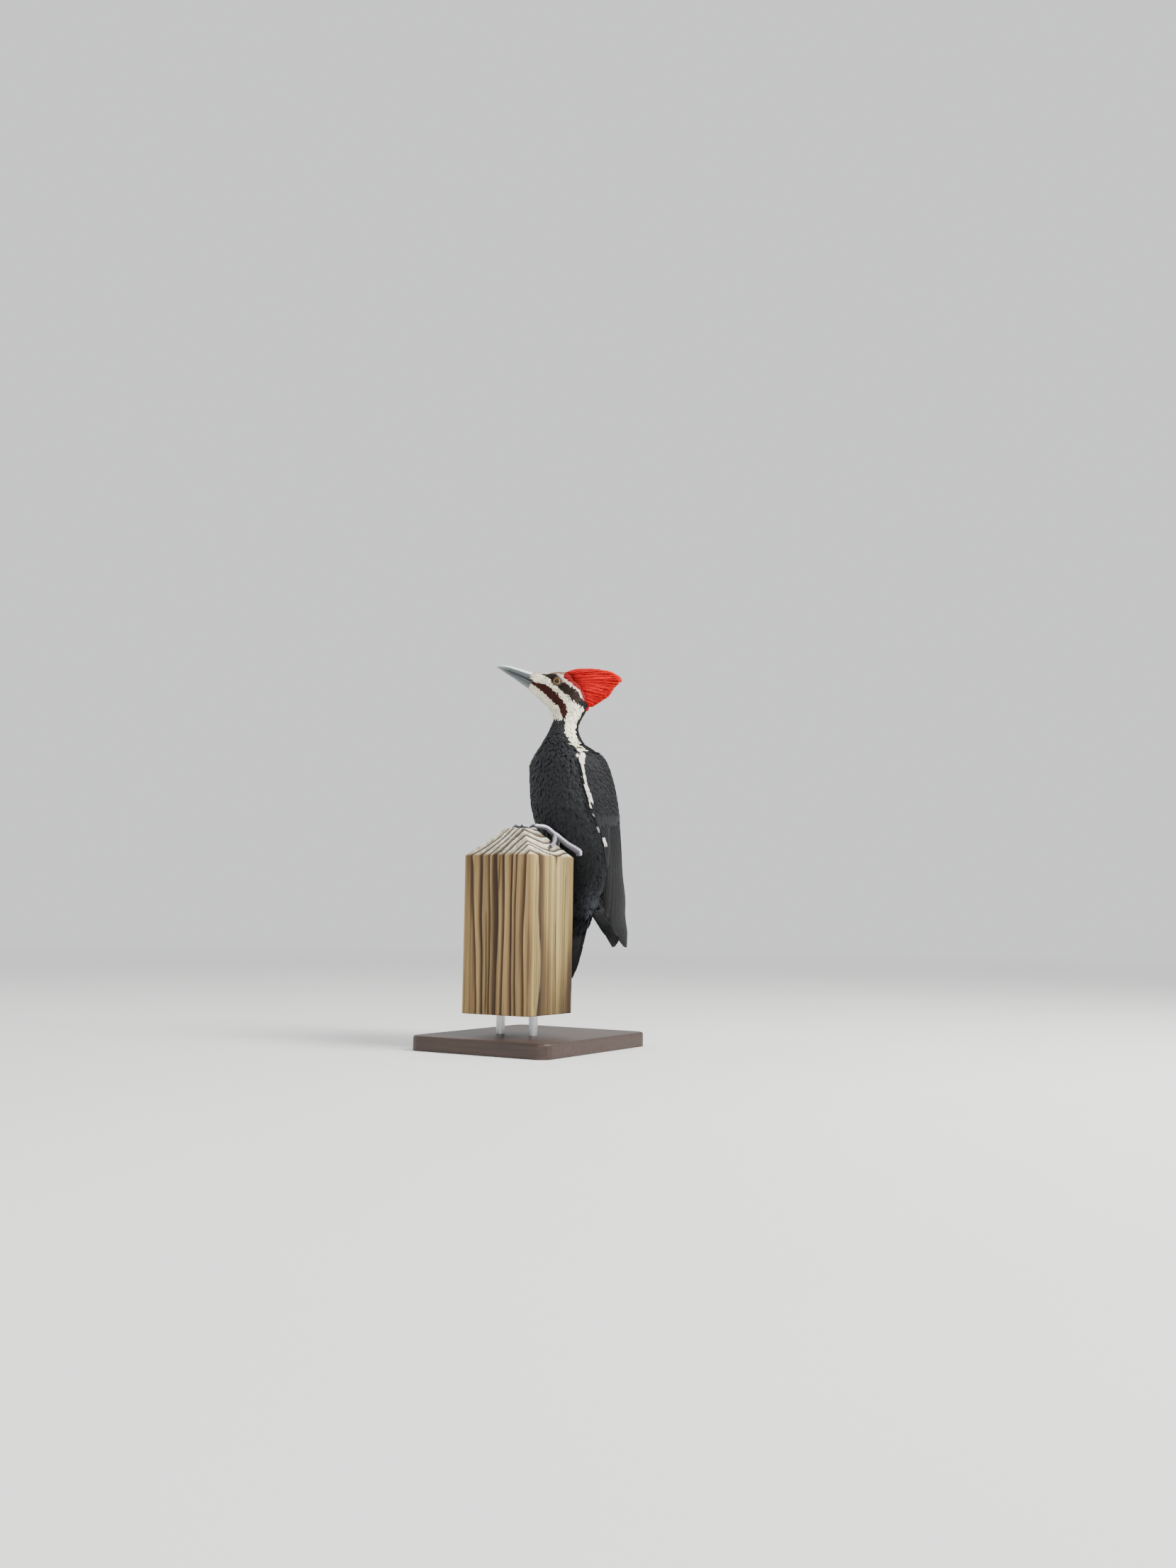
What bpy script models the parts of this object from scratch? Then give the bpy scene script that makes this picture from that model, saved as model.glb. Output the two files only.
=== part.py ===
"""Life-size pileated woodpecker clinging to the top of a square post, on a plain display stand.

Metres, +Z up.  The origin is the middle of the stand's underside.  Tables are in millimetres,
measured from the post's axis at the level where its chamfered cap begins.
"""
import math

import bmesh
import bpy
from mathutils import Vector

# ---------------------------------------------------------------- driving dimensions
MM = 0.001
GAP = 0.35                    # clear space between neighbouring solids

BASE_SIZE = (180.0, 220.0, 16.0)
BASE_CORNER = 14.0            # rounding of the base's corners, seen from above
BASE_EDGE = 2.5               # rounding of the base's upper edge
ROD_RADIUS = 5.0
ROD_RING = 16
ROD_SPREAD = 22.0             # each rod's distance from the post's axis

POST_Y = -30.0                # the post stands behind the base's middle, so that the bird balances it
POST_SIDE = 89.0
POST_BOTTOM = 40.0
CAP_LEVEL = 215.0             # height where the 45 degree chamfers begin
CAP_RISE = 31.5

BIRD_X, BIRD_Y = 23.0, 50.0   # where the bird's body line crosses the level of its feet
BODY_YAW = math.radians(12.0)     # turn of the breast from -Y towards -X
HEAD_YAW = math.radians(58.1)     # turn of the bill, the same way
TAIL_YAW = math.radians(4.0)
HEAD_DEPTH = 32.0             # distance of the head's own mid plane behind the post's axis

RING = 24                     # points round the flesh
EYE_RADIUS = 6.4
EYE_AT = (38.5, 12.0, 204.6)  # along the head, out from its mid plane, height

# body: height, set-back of the axis, half width, half depth to the breast, half depth to the back
TRUNK = (
    (130.0, 1.2, 26.0, 26.0, 26.0),
    (123.5, 5.0, 35.5, 32.5, 33.5),
    (115.0, 8.0, 43.0, 38.5, 40.0),
    (104.0, 11.7, 47.0, 43.5, 43.5),
    (85.0, 15.9, 49.0, 46.5, 46.5),
    (63.0, 19.5, 51.0, 47.0, 47.5),
    (45.0, 24.0, 51.0, 45.0, 46.0),
    (20.0, 32.0, 48.0, 40.0, 42.0),
    (0.0, 40.0, 43.0, 34.0, 38.0),
    (-15.0, 43.0, 38.0, 29.0, 37.0),
    (-30.0, 41.0, 32.0, 22.0, 30.0),
    (-45.0, 37.0, 25.5, 17.0, 18.0),
    (-58.0, 31.0, 23.0, 10.5, 11.0),
)
# tail below it, with the same columns; its rectrices end in a shallow wedge
TAIL = (
    (-58.0, 31.0, 23.0, 10.5, 11.0),
    (-72.0, 26.0, 22.8, 6.0, 6.5),
    (-95.0, 19.0, 22.5, 3.6, 4.6),
    (-120.0, 12.0, 23.5, 2.8, 3.8),
    (-138.0, 7.0, 22.5, 2.2, 3.2),
    (-148.0, 4.2, 18.0, 1.8, 2.6),
    (-156.0, 2.2, 8.0, 1.3, 1.8),
)
TAIL_CUP = 3.2                # how far the tail's edges bend towards the post

# wing: height, set-back of the form it wraps, its half width and half depth, thickness,
# and the angles of its leading and trailing edges from the middle of the breast
WING = (
    (123.0, 5.5, 37.0, 34.0, 3.0, 74.0, 112.0),
    (116.0, 8.0, 44.0, 40.5, 5.0, 66.0, 130.0),
    (104.0, 12.0, 48.5, 45.0, 6.0, 59.0, 150.0),
    (85.0, 16.6, 51.0, 48.5, 6.0, 59.0, 160.0),
    (63.0, 20.8, 53.0, 49.5, 6.0, 61.0, 166.0),
    (45.0, 25.2, 53.0, 48.0, 6.0, 64.0, 168.0),
    (20.0, 33.5, 50.0, 44.5, 6.0, 69.0, 169.0),
    (0.0, 42.0, 45.0, 41.0, 5.5, 70.0, 169.0),
    (-17.0, 52.0, 38.5, 36.5, 5.0, 66.0, 168.0),
    (-46.0, 70.5, 27.0, 30.0, 3.6, 50.0, 169.0),
    (-65.0, 82.0, 17.5, 24.0, 2.8, 38.0, 169.0),
    (-80.0, 91.0, 12.5, 21.0, 2.2, 35.0, 168.0),
    (-94.0, 99.5, 11.0, 12.0, 1.6, 35.0, 150.0),
    (-103.0, 104.0, 11.0, 4.0, 1.0, 50.0, 120.0),
)
WING_ARC = 8                  # points along each face of a wing's section
WING_ROOM = 0.6               # clear space between a wing and the trunk that it lies on

# head and neck in profile, from the bill backwards and down: crown or nape point,
# throat point (each along the head and height), half width
HEAD = (
    (16.3, 216.6, 4.2, 197.6, 8.4),
    (27.1, 215.2, 12.2, 190.8, 13.6),
    (37.0, 218.4, 19.8, 184.2, 16.6),
    (50.0, 218.4, 27.0, 177.6, 17.8),
    (64.0, 212.5, 30.8, 172.4, 18.4),
    (73.0, 201.0, 33.0, 168.4, 18.4),
    (76.5, 187.5, 34.2, 165.2, 17.8),
    (74.0, 174.5, 34.4, 162.4, 17.0),
)
NECK = (
    (74.0, 174.5, 34.4, 162.4, 17.0),
    (67.8, 163.6, 33.8, 158.6, 16.6),
    (64.0, 153.0, 30.8, 151.0, 16.6),
    (66.8, 141.5, 26.2, 141.0, 20.0),
    (72.8, 131.0, 20.5, 131.0, 26.0),
)

# crest: fan of rays from inside the skull to its outer edge, with the edge's half thickness
CREST_ROOT = (57.0, 197.0)
CREST_EDGE = (
    (48.0, 219.6, 2.0),
    (58.0, 222.6, 2.6),
    (75.0, 223.0, 2.6),
    (95.6, 221.6, 2.0),
    (107.0, 217.6, 1.6),
    (115.2, 210.0, 1.2),
    (106.5, 201.0, 1.6),
    (99.7, 190.6, 2.0),
    (91.0, 184.6, 2.4),
    (80.6, 177.8, 2.8),
)
CREST_HALF = 12.5             # half thickness where it stands on the skull

# bill from its root to its tip: upper and lower point of each section in profile, half width
BILL_UPPER = (
    (16.0, 216.2, 9.6, 206.2, 6.8),
    (6.2, 218.2, 2.6, 209.6, 6.0),
    (-5.0, 221.5, -7.4, 214.0, 4.8),
    (-19.3, 225.0, -20.8, 219.5, 3.3),
    (-27.0, 225.6, -28.2, 222.4, 2.2),
    (-32.0, 224.6, -32.6, 223.6, 1.2),
)
BILL_LOWER = (
    (9.2, 205.6, 4.6, 198.4, 6.4),
    (2.3, 209.1, -2.6, 203.2, 5.6),
    (-7.6, 213.4, -10.4, 208.8, 4.4),
    (-20.6, 218.8, -21.6, 215.9, 2.9),
    (-27.6, 221.6, -28.0, 220.0, 1.9),
    (-31.2, 222.8, -31.4, 222.0, 1.0),
)
BILL_RING = 12
BILL_SEAM = 0.12              # each mandible is widest this share of its depth from the seam

# legs, right and left of the body line: where the heel stands and where the toes spread
THIGH = ((20.0, 34.0, 40.0, 15.0), (22.0, 26.0, 24.0, 12.5), (23.0, 16.0, 13.0, 8.0), (23.0, 9.0, 7.5, 5.0))
THIGH_RING = 14
TOE_RADIUS = 2.5
TOE_RING = 8
# left foot, on the post's corner; right foot, on the chamfer behind; x, y, z and radius
LEFT_FOOT = {
    "tarsus": ((47.5, 50.5, 2.5, 3.0), (47.5, 49.5, 7.0, 4.0), (38.0, 40.0, 15.5, 3.2), (27.5, 29.5, 26.0, 3.6)),
    "toe_third": ((27.5, 29.5, 26.0, 3.2), (18.0, 21.5, 34.5, 2.6), (10.5, 13.5, 35.2, 2.3), (6.5, 8.5, 33.0, 0.8)),
    "toe_second": ((27.5, 29.5, 26.0, 3.0), (22.0, 16.0, 34.0, 2.4), (15.0, 5.5, 35.0, 2.2), (11.5, 0.0, 33.0, 0.8)),
    "toe_fourth": ((27.5, 29.5, 26.0, 3.0), (34.0, 16.5, 15.0, 2.4), (38.0, 4.0, 11.0, 2.2), (40.8, -2.5, 6.6, 0.8)),
    "toe_first": ((30.0, 32.0, 23.5, 2.8), (24.5, 39.0, 9.4, 2.0), (20.0, 43.0, 5.2, 1.8), (16.5, 45.6, 1.6, 0.7)),
}
RIGHT_FOOT = {
    "tarsus": ((-1.5, 54.5, 3.0, 3.0), (-1.5, 53.0, 7.5, 4.0), (-3.0, 40.0, 14.5, 3.2), (-4.5, 26.5, 26.5, 3.6)),
    "toe_third": ((-4.5, 26.5, 26.5, 3.2), (-7.0, 15.5, 34.5, 2.6), (-9.5, 5.5, 35.2, 2.3), (-10.8, -1.0, 33.0, 0.8)),
    "toe_second": ((-4.5, 26.5, 26.5, 3.0), (-2.0, 14.5, 34.0, 2.4), (-1.5, 5.5, 35.0, 2.2), (-1.2, -0.8, 33.0, 0.8)),
    "toe_fourth": ((-4.5, 26.5, 26.5, 3.0), (-15.0, 28.5, 20.5, 2.4), (-26.0, 32.5, 16.0, 2.2), (-32.0, 34.8, 11.2, 0.8)),
    "toe_first": ((-4.0, 30.0, 23.0, 2.6), (3.5, 36.0, 12.8, 1.9), (8.5, 40.0, 9.0, 1.7), (10.4, 43.0, 4.6, 0.7)),
}


# ---------------------------------------------------------------- scene, materials and meshes
def clear_scene():
    for obj in list(bpy.data.objects):
        bpy.data.objects.remove(obj)


def material(name, colour, roughness):
    mat = bpy.data.materials.new(name)
    mat.use_nodes = True
    shader = mat.node_tree.nodes["Principled BSDF"]
    shader.inputs["Base Color"].default_value = (*colour, 1.0)
    shader.inputs["Roughness"].default_value = roughness
    shader.inputs["Metallic"].default_value = 0.0
    mat.diffuse_color = (*colour, 1.0)
    return mat


def mesh_object(name, mesh, mat):
    mesh.materials.append(mat)
    obj = bpy.data.objects.new(name, mesh)
    bpy.context.scene.collection.objects.link(obj)
    return obj


def loft(name, rings, mat):
    """Closed skin over a row of rings with the same number of points, capped at both ends."""
    bm = bmesh.new()
    rows = [[bm.verts.new(point * MM) for point in ring] for ring in rings]
    count = len(rings[0])
    for lower, upper in zip(rows, rows[1:]):
        for i in range(count):
            j = (i + 1) % count
            bm.faces.new((lower[i], lower[j], upper[j], upper[i]))
    bm.faces.new(rows[0])
    bm.faces.new(rows[-1])
    bmesh.ops.recalc_face_normals(bm, faces=bm.faces)
    mesh = bpy.data.meshes.new(name)
    bm.to_mesh(mesh)
    bm.free()
    return mesh_object(name, mesh, mat)


def boolean(target, cutter, operation):
    """Cut or join with the EXACT solver, then drop the cutter."""
    modifier = target.modifiers.new(operation.title(), "BOOLEAN")
    modifier.operation = operation
    modifier.object = cutter
    bpy.context.view_layer.update()
    evaluated = target.evaluated_get(bpy.context.evaluated_depsgraph_get())
    mesh = bpy.data.meshes.new_from_object(evaluated)
    target.modifiers.clear()
    target.data = mesh
    bpy.data.objects.remove(cutter)


# ---------------------------------------------------------------- interpolation and places
def hermite(rows, at):
    """Smooth value of every column at a fractional row number, without overshoot."""
    last = len(rows) - 1
    index = min(int(at), last - 1)
    t = at - index
    blended = []
    for column in range(len(rows[0])):
        def value(row):
            return rows[max(0, min(last, row))][column]

        def slope(row):
            before, after = value(row) - value(row - 1), value(row + 1) - value(row)
            if row in (0, last):
                return before + after
            if before * after <= 0.0:
                return 0.0
            return 2.0 * before * after / (before + after)

        start, end = value(index), value(index + 1)
        blended.append(
            (2 * t**3 - 3 * t**2 + 1) * start + (t**3 - 2 * t**2 + t) * slope(index)
            + (3 * t**2 - 2 * t**3) * end + (t**3 - t**2) * slope(index + 1))
    return blended


def smooth_rows(rows, per_span):
    steps = (len(rows) - 1) * per_span
    return [hermite(rows, step / per_span) for step in range(steps + 1)]


def from_post(x, y, z):
    """A place measured from the post's axis at the cap's level."""
    return Vector((x, POST_Y + y, CAP_LEVEL + z))


def forward(yaw):
    return Vector((-math.sin(yaw), -math.cos(yaw), 0.0))


def left_of(yaw):
    return Vector((math.cos(yaw), -math.sin(yaw), 0.0))


def on_body(lateral, back, height, yaw=BODY_YAW):
    """A place on the body: to the bird's left, behind the body line, and up."""
    return from_post(BIRD_X, BIRD_Y, height) + left_of(yaw) * lateral - forward(BODY_YAW) * back


def on_head(along, height, lateral=0.0):
    """A place on the head: back along its mid plane, up, and to the bird's left."""
    middle = -forward(HEAD_YAW) * along - left_of(HEAD_YAW) * (HEAD_DEPTH - lateral)
    return from_post(middle.x, middle.y, height)


def oval(centre, side, front, half_width, half_front, half_back, count=RING):
    """Ring round a centre, starting at the front and turning to the bird's left."""
    points = []
    for i in range(count):
        angle = math.tau * i / count
        reach = half_front if math.cos(angle) > 0.0 else half_back
        points.append(centre + front * (reach * math.cos(angle)) + side * (half_width * math.sin(angle)))
    return points


# ---------------------------------------------------------------- flesh
def body_ring(row, grow=0.0):
    height, back, half_width, half_front, half_back = row
    return oval(on_body(0.0, back, height), left_of(BODY_YAW), forward(BODY_YAW),
                half_width + grow, half_front + grow, half_back + grow)


def head_ring(row, yaw=HEAD_YAW, grow=0.0, shift=0.0, count=RING, widest=0.5):
    """Ring through a dorsal and a ventral point of the head's profile, widest part way between."""
    top_along, top_height, low_along, low_height, half_width = row
    top, low = on_head(top_along, top_height), on_head(low_along, low_height)
    down = (low - top).normalized()
    centre = top.lerp(low, widest)
    half_back, half_front = (centre - top).length, (low - centre).length
    lean = math.atan2(-down.z, math.hypot(down.x, down.y))
    front = forward(yaw) * math.cos(lean) - Vector((0.0, 0.0, math.sin(lean)))
    away = front.cross(left_of(yaw)).normalized()
    return oval(centre + away * shift, left_of(yaw), front,
                half_width + grow, half_front + grow, half_back + grow, count)


def build_trunk(mat):
    rings = [body_ring(row) for row in smooth_rows(TRUNK, 2)]
    return loft("trunk", rings, mat)


def build_tail(mat):
    rings = []
    for row in smooth_rows(TAIL, 2):
        height, back, half_width, half_front, half_back = row
        turn = (TRUNK[-1][0] - height) / (TRUNK[-1][0] - TAIL[-1][0])
        yaw = BODY_YAW + (TAIL_YAW - BODY_YAW) * min(1.0, 2.0 * turn)
        centre = on_body(0.0, back, height - GAP * (1.0 - turn))
        ring = oval(centre, left_of(yaw), forward(yaw), half_width, half_front, half_back)
        cup = TAIL_CUP * min(1.0, 2.0 * turn)
        for point in ring:
            lateral = (point - centre).dot(left_of(yaw)) / half_width
            point += forward(yaw) * (cup * lateral**2)
        rings.append(ring)
    return loft("tail", rings, mat)


def build_head(mat, name="head", grow=0.0):
    rings = [head_ring(row, grow=grow) for row in smooth_rows(HEAD, 2)]
    return loft(name, rings, mat)


def build_neck(mat):
    """The neck turns from the head's heading to the body's on its way down."""
    rows = smooth_rows(NECK, 2)
    rings = []
    for i, row in enumerate(rows):
        part_way = i / (len(rows) - 1)
        yaw = HEAD_YAW + (BODY_YAW - HEAD_YAW) * part_way
        shift = -GAP if i == 0 else 0.0
        rings.append(head_ring(row, yaw=yaw, shift=shift))
    for point in rings[-1]:
        point.z = CAP_LEVEL + TRUNK[0][0] + GAP
    return loft("neck", rings, mat)


def build_crest(mat):
    """A blade that thins from the skull to its ragged outer edge, cut to sit on the head."""
    root = Vector(CREST_ROOT)
    fractions = (0.2, 0.45, 0.65, 0.82, 1.0)
    rings = []
    for along, height, edge in smooth_rows(CREST_EDGE, 2):
        tip = Vector((along, height))
        sides = []
        for fraction in fractions:
            place = root.lerp(tip, fraction)
            thin = (fraction - fractions[0]) / (1.0 - fractions[0])
            sides.append((place, CREST_HALF + (edge - CREST_HALF) * thin**0.8))
        near = [on_head(place.x, place.y, half) for place, half in sides]
        far = [on_head(place.x, place.y, -half) for place, half in reversed(sides)]
        rings.append(near + far)
    crest = loft("crest", rings, mat)
    boolean(crest, build_head(mat, "head_room", grow=GAP), "DIFFERENCE")
    return crest


def build_bill(name, table, widest, mat):
    rings = [head_ring(row, count=BILL_RING, widest=widest, shift=GAP if i == 0 else 0.0)
             for i, row in enumerate(smooth_rows(table, 2))]
    return loft(name, rings, mat)


def build_eye(name, side, radius, mat):
    bm = bmesh.new()
    bmesh.ops.create_uvsphere(bm, u_segments=14, v_segments=8, radius=radius * MM)
    mesh = bpy.data.meshes.new(name)
    bm.to_mesh(mesh)
    bm.free()
    along, lateral, height = EYE_AT
    eye = mesh_object(name, mesh, mat)
    eye.location = on_head(along, height, side * lateral) * MM
    return eye


def build_wing(name, side, mat, grow=0.0):
    rows = smooth_rows(WING, 2)
    rows[0][0] += grow
    rows[-1][0] -= grow
    rings = []
    for height, back, half_width, half_depth, thick, lead, trail in rows:
        centre = on_body(0.0, back, height)
        widen = math.degrees(grow / half_width)
        outer, inner = [], []
        for i in range(WING_ARC):
            part_way = i / (WING_ARC - 1)
            angle = math.radians(lead - widen + (trail - lead + 2.0 * widen) * part_way)
            depth = thick * (0.3 + 0.7 * math.sin(math.pi * part_way) ** 0.6) + grow
            front, across = forward(BODY_YAW) * math.cos(angle), left_of(BODY_YAW) * (side * math.sin(angle))
            outer.append(centre + front * (half_depth + grow) + across * (half_width + grow))
            inner.append(centre + front * (half_depth - depth) + across * (half_width - depth))
        rings.append(outer + inner[::-1])
    return loft(name, rings, mat)


def build_thigh(name, side, mat, grow=0.0):
    rings = []
    for lateral, back, height, radius in smooth_rows(THIGH, 2):
        centre = on_body(side * lateral, back, height)
        slant = (forward(BODY_YAW) + Vector((0.0, 0.0, 1.0))).normalized()
        rings.append(oval(centre, left_of(BODY_YAW), slant, radius + grow, radius + grow, radius + grow, THIGH_RING))
    return loft(name, rings, mat)


# ---------------------------------------------------------------- feet
def build_digit(name, points, mat, grow=0.0):
    """Round limb along a few joints, with its radius at each."""
    rows = smooth_rows(points, 2)
    places = [from_post(x, y, z) for x, y, z, radius in rows]
    rings = []
    for i, row in enumerate(rows):
        run = (places[min(i + 1, len(rows) - 1)] - places[max(i - 1, 0)]).normalized()
        side = run.cross(Vector((0.3, 0.2, 1.0))).normalized()
        front = side.cross(run)
        radius = row[3] + grow
        rings.append(oval(places[i], side, front, radius, radius, radius, TOE_RING))
    return loft(name, rings, mat)


def build_foot(name, digits, mat, grow=0.0):
    foot = build_digit(name, digits["tarsus"], mat, grow)
    for digit, points in digits.items():
        if digit != "tarsus":
            boolean(foot, build_digit(digit, points, mat, grow), "UNION")
    return foot


# ---------------------------------------------------------------- post and stand
def build_post(mat):
    """Square post, its top cut to a low pyramid with a flat."""
    half = POST_SIDE / 2.0
    flat = half - CAP_RISE

    def square(reach, height):
        return [from_post(sx * reach, sy * reach, height) for sx, sy in ((-1, -1), (1, -1), (1, 1), (-1, 1))]

    return loft("perch_post", [square(half, POST_BOTTOM - CAP_LEVEL), square(half, 0.0), square(flat, CAP_RISE)], mat)


def build_base(mat):
    width, depth, height = BASE_SIZE

    def outline(inset, level):
        radius = BASE_CORNER - inset
        points = []
        for corner in range(4):
            centre_angle = math.pi / 4.0 + corner * math.pi / 2.0
            cx = math.copysign(width / 2.0 - BASE_CORNER, math.cos(centre_angle))
            cy = math.copysign(depth / 2.0 - BASE_CORNER, math.sin(centre_angle))
            for step in range(7):
                angle = corner * math.pi / 2.0 + step * math.pi / 12.0
                points.append(Vector((cx + radius * math.cos(angle), cy + radius * math.sin(angle), level)))
        return points

    rings = [outline(0.0, 0.0)]
    for step in range(5):
        angle = step * math.pi / 8.0
        rings.append(outline(BASE_EDGE * (1.0 - math.cos(angle)), height - BASE_EDGE * (1.0 - math.sin(angle))))
    return loft("stand_base", rings, mat)


def build_rod(name, side, mat):
    low, high = BASE_SIZE[2] + GAP, POST_BOTTOM - GAP
    across, ahead = Vector((1.0, 0.0, 0.0)), Vector((0.0, 1.0, 0.0))
    rings = [oval(Vector((side * ROD_SPREAD, POST_Y, level)), across, ahead,
                  ROD_RADIUS, ROD_RADIUS, ROD_RADIUS, ROD_RING) for level in (low, high)]
    return loft(name, rings, mat)


# ---------------------------------------------------------------- assembly
def main():
    clear_scene()
    black = material("black_plumage", (0.016, 0.017, 0.019), 0.75)
    slate = material("wing_plumage", (0.022, 0.023, 0.027), 0.65)
    white = material("neck_plumage", (0.40, 0.38, 0.33), 0.8)
    red = material("crest_plumage", (0.62, 0.03, 0.03), 0.75)
    horn = material("bill_horn", (0.10, 0.11, 0.12), 0.4)
    amber = material("eye", (0.70, 0.42, 0.04), 0.08)
    scale = material("foot_skin", (0.18, 0.19, 0.22), 0.6)
    timber = material("post_wood", (0.33, 0.26, 0.18), 0.85)
    lacquer = material("stand_lacquer", (0.03, 0.03, 0.03), 0.4)

    head = build_head(white)
    build_neck(white)
    trunk = build_trunk(black)
    build_tail(black)
    build_crest(red)
    build_bill("bill_upper", BILL_UPPER, 1.0 - BILL_SEAM, horn)
    build_bill("bill_lower", BILL_LOWER, BILL_SEAM, horn)
    for name, side in (("left", 1.0), ("right", -1.0)):
        build_eye("eye_" + name, side, EYE_RADIUS, amber)
        boolean(head, build_eye("socket", side, EYE_RADIUS + GAP, amber), "DIFFERENCE")
        build_wing("wing_" + name, side, slate)
        boolean(trunk, build_wing("wing_room", side, slate, WING_ROOM), "DIFFERENCE")
        thigh = build_thigh("thigh_" + name, side, black)
        digits = LEFT_FOOT if side > 0.0 else RIGHT_FOOT
        boolean(trunk, build_thigh("thigh_room", side, black, GAP), "DIFFERENCE")
        boolean(trunk, build_foot("foot_room", digits, scale, GAP), "DIFFERENCE")
        boolean(thigh, build_foot("foot_room", digits, scale, GAP), "DIFFERENCE")
        build_foot("foot_" + name, digits, scale)

    build_post(timber)
    build_base(lacquer)
    build_rod("stand_rod_left", 1.0, lacquer)
    build_rod("stand_rod_right", -1.0, lacquer)


main()
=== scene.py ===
import math

import bmesh
import bpy
import numpy as np
from mathutils import Matrix, Vector
from mathutils.kdtree import KDTree


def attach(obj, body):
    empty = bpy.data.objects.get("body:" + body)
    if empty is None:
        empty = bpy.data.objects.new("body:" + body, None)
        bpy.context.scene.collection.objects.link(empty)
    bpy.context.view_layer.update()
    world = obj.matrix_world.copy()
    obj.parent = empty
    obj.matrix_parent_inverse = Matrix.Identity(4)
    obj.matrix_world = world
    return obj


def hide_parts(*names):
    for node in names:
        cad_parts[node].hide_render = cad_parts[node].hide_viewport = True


# Pileated woodpecker clinging to a post, dressed in feathers over one skin.
# Tables and sizes are in millimetres from the post's axis at the level where its cap begins,
# as in the part's own source. Meshes are in metres.

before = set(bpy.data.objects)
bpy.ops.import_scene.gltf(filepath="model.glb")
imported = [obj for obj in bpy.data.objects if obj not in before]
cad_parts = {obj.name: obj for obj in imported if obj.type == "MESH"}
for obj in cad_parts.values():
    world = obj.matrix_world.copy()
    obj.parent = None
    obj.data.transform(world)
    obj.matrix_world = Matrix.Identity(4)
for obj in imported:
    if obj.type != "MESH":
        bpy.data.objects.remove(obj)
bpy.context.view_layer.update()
bpy.ops.object.select_all(action="DESELECT")
draw = np.random.default_rng(41)
mm = 0.001
sides = {"Left": 1.0, "Right": -1.0}
print("frame loaded")

site = {"postY": -30.0, "capLevel": 215.0, "birdX": 23.0, "birdY": 50.0, "headDepth": 32.0,
        "bodyYaw": math.radians(12.0), "headYaw": math.radians(58.1), "tailYaw": math.radians(4.0)}


def addObject(name, data):
    thing = bpy.data.objects.new(name, data)
    bpy.context.scene.collection.objects.link(thing)
    return thing


# camera
shot = {"place": (0.85333, -1.29511, 0.14066), "lens": 30.92, "sensor": 36.0,
        "heading": 31.15, "pitch": 5.92, "roll": 0.785}  # degrees, above the level for the pitch


def aimCamera():
    data = bpy.data.cameras.new("shotCamera")
    data.sensor_fit = "VERTICAL"
    data.sensor_height = shot["sensor"]
    data.lens = shot["lens"]
    camera = addObject("shotCamera", data)
    placed = Matrix.Translation(shot["place"])
    for angle, axis in ((shot["heading"], "Z"), (90.0 + shot["pitch"], "X"), (shot["roll"], "Z")):
        placed = placed @ Matrix.Rotation(math.radians(angle), 4, axis)
    camera.matrix_world = placed
    bpy.context.scene.camera = camera


aimCamera()


# places and tables
def forward(yaw):
    return np.array([-math.sin(yaw), -math.cos(yaw), 0.0])


def leftOf(yaw):
    return np.array([math.cos(yaw), -math.sin(yaw), 0.0])


bodyFront, bodyLeft = forward(site["bodyYaw"]), leftOf(site["bodyYaw"])
headFront, headLeft = forward(site["headYaw"]), leftOf(site["headYaw"])
skyward = np.array([0.0, 0.0, 1.0])


def fromPost(x, y, z):
    return np.stack(np.broadcast_arrays(x, site["postY"] + y, site["capLevel"] + z), -1).astype(float)


def onBody(lateral, back, height, left=bodyLeft):
    spot = fromPost(site["birdX"], site["birdY"], np.asarray(height, float))
    return spot + np.multiply.outer(lateral, left) - np.multiply.outer(back, bodyFront)


def onHead(along, height, lateral=0.0):
    spot = fromPost(0.0, 0.0, np.asarray(height, float)) - np.multiply.outer(along, headFront)
    return spot - np.multiply.outer(site["headDepth"] - np.asarray(lateral, float), headLeft)


def headFrame(points):  # along, height and lateral of places on the head
    offset = points - fromPost(0.0, 0.0, 0.0)
    return -(offset @ headFront), offset[..., 2], offset @ headLeft + site["headDepth"]


def readTable(rows, at):  # smooth values between a table's rows, without overshoot
    rows, at = np.asarray(rows, float), np.atleast_1d(np.asarray(at, float))
    step = np.diff(rows, axis=0)
    slope = np.zeros_like(rows)
    slope[0], slope[-1] = step[0], step[-1]
    product, total = step[:-1] * step[1:], step[:-1] + step[1:]
    rising = product > 0.0
    slope[1:-1][rising] = 2.0 * product[rising] / total[rising]
    row = np.clip(at.astype(int), 0, len(rows) - 2)
    t = (at - row)[:, None]
    return ((2 * t**3 - 3 * t**2 + 1) * rows[row] + (t**3 - 2 * t**2 + t) * slope[row]
            + (3 * t**2 - 2 * t**3) * rows[row + 1] + (t**3 - t**2) * slope[row + 1])


def unit(vectors):
    return vectors / np.maximum(np.linalg.norm(vectors, axis=-1, keepdims=True), 1e-9)


def squareTo(run, vectors):  # unit vectors square to the run
    return unit(vectors - (vectors * run).sum(-1, keepdims=True) * run)


def even(count):
    return np.linspace(0.0, 1.0, count)


def ramped(value, start, length):  # rises from 0 at the start to 1 after the length
    return np.clip((value - start) / length, 0.0, 1.0)


def fullTurn(count):
    return math.tau * np.arange(count) / count


def bent(start, middle, tip, u):  # places on a curve that leaves for the middle and ends at the tip
    return start * (1 - u) ** 2 + 2 * middle * u * (1 - u) + tip * u**2


def tones(**colours):  # display colours, 0 to 255, as linear ones
    values = {name: np.array(colour) / 255.0 for name, colour in colours.items()}
    return {name: np.where(value <= 0.04045, value / 12.92, ((value + 0.055) / 1.055) ** 2.4)
            for name, value in values.items()}


def blend(first, second, share):
    return first + (second - first) * np.asarray(share)[..., None]


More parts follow.
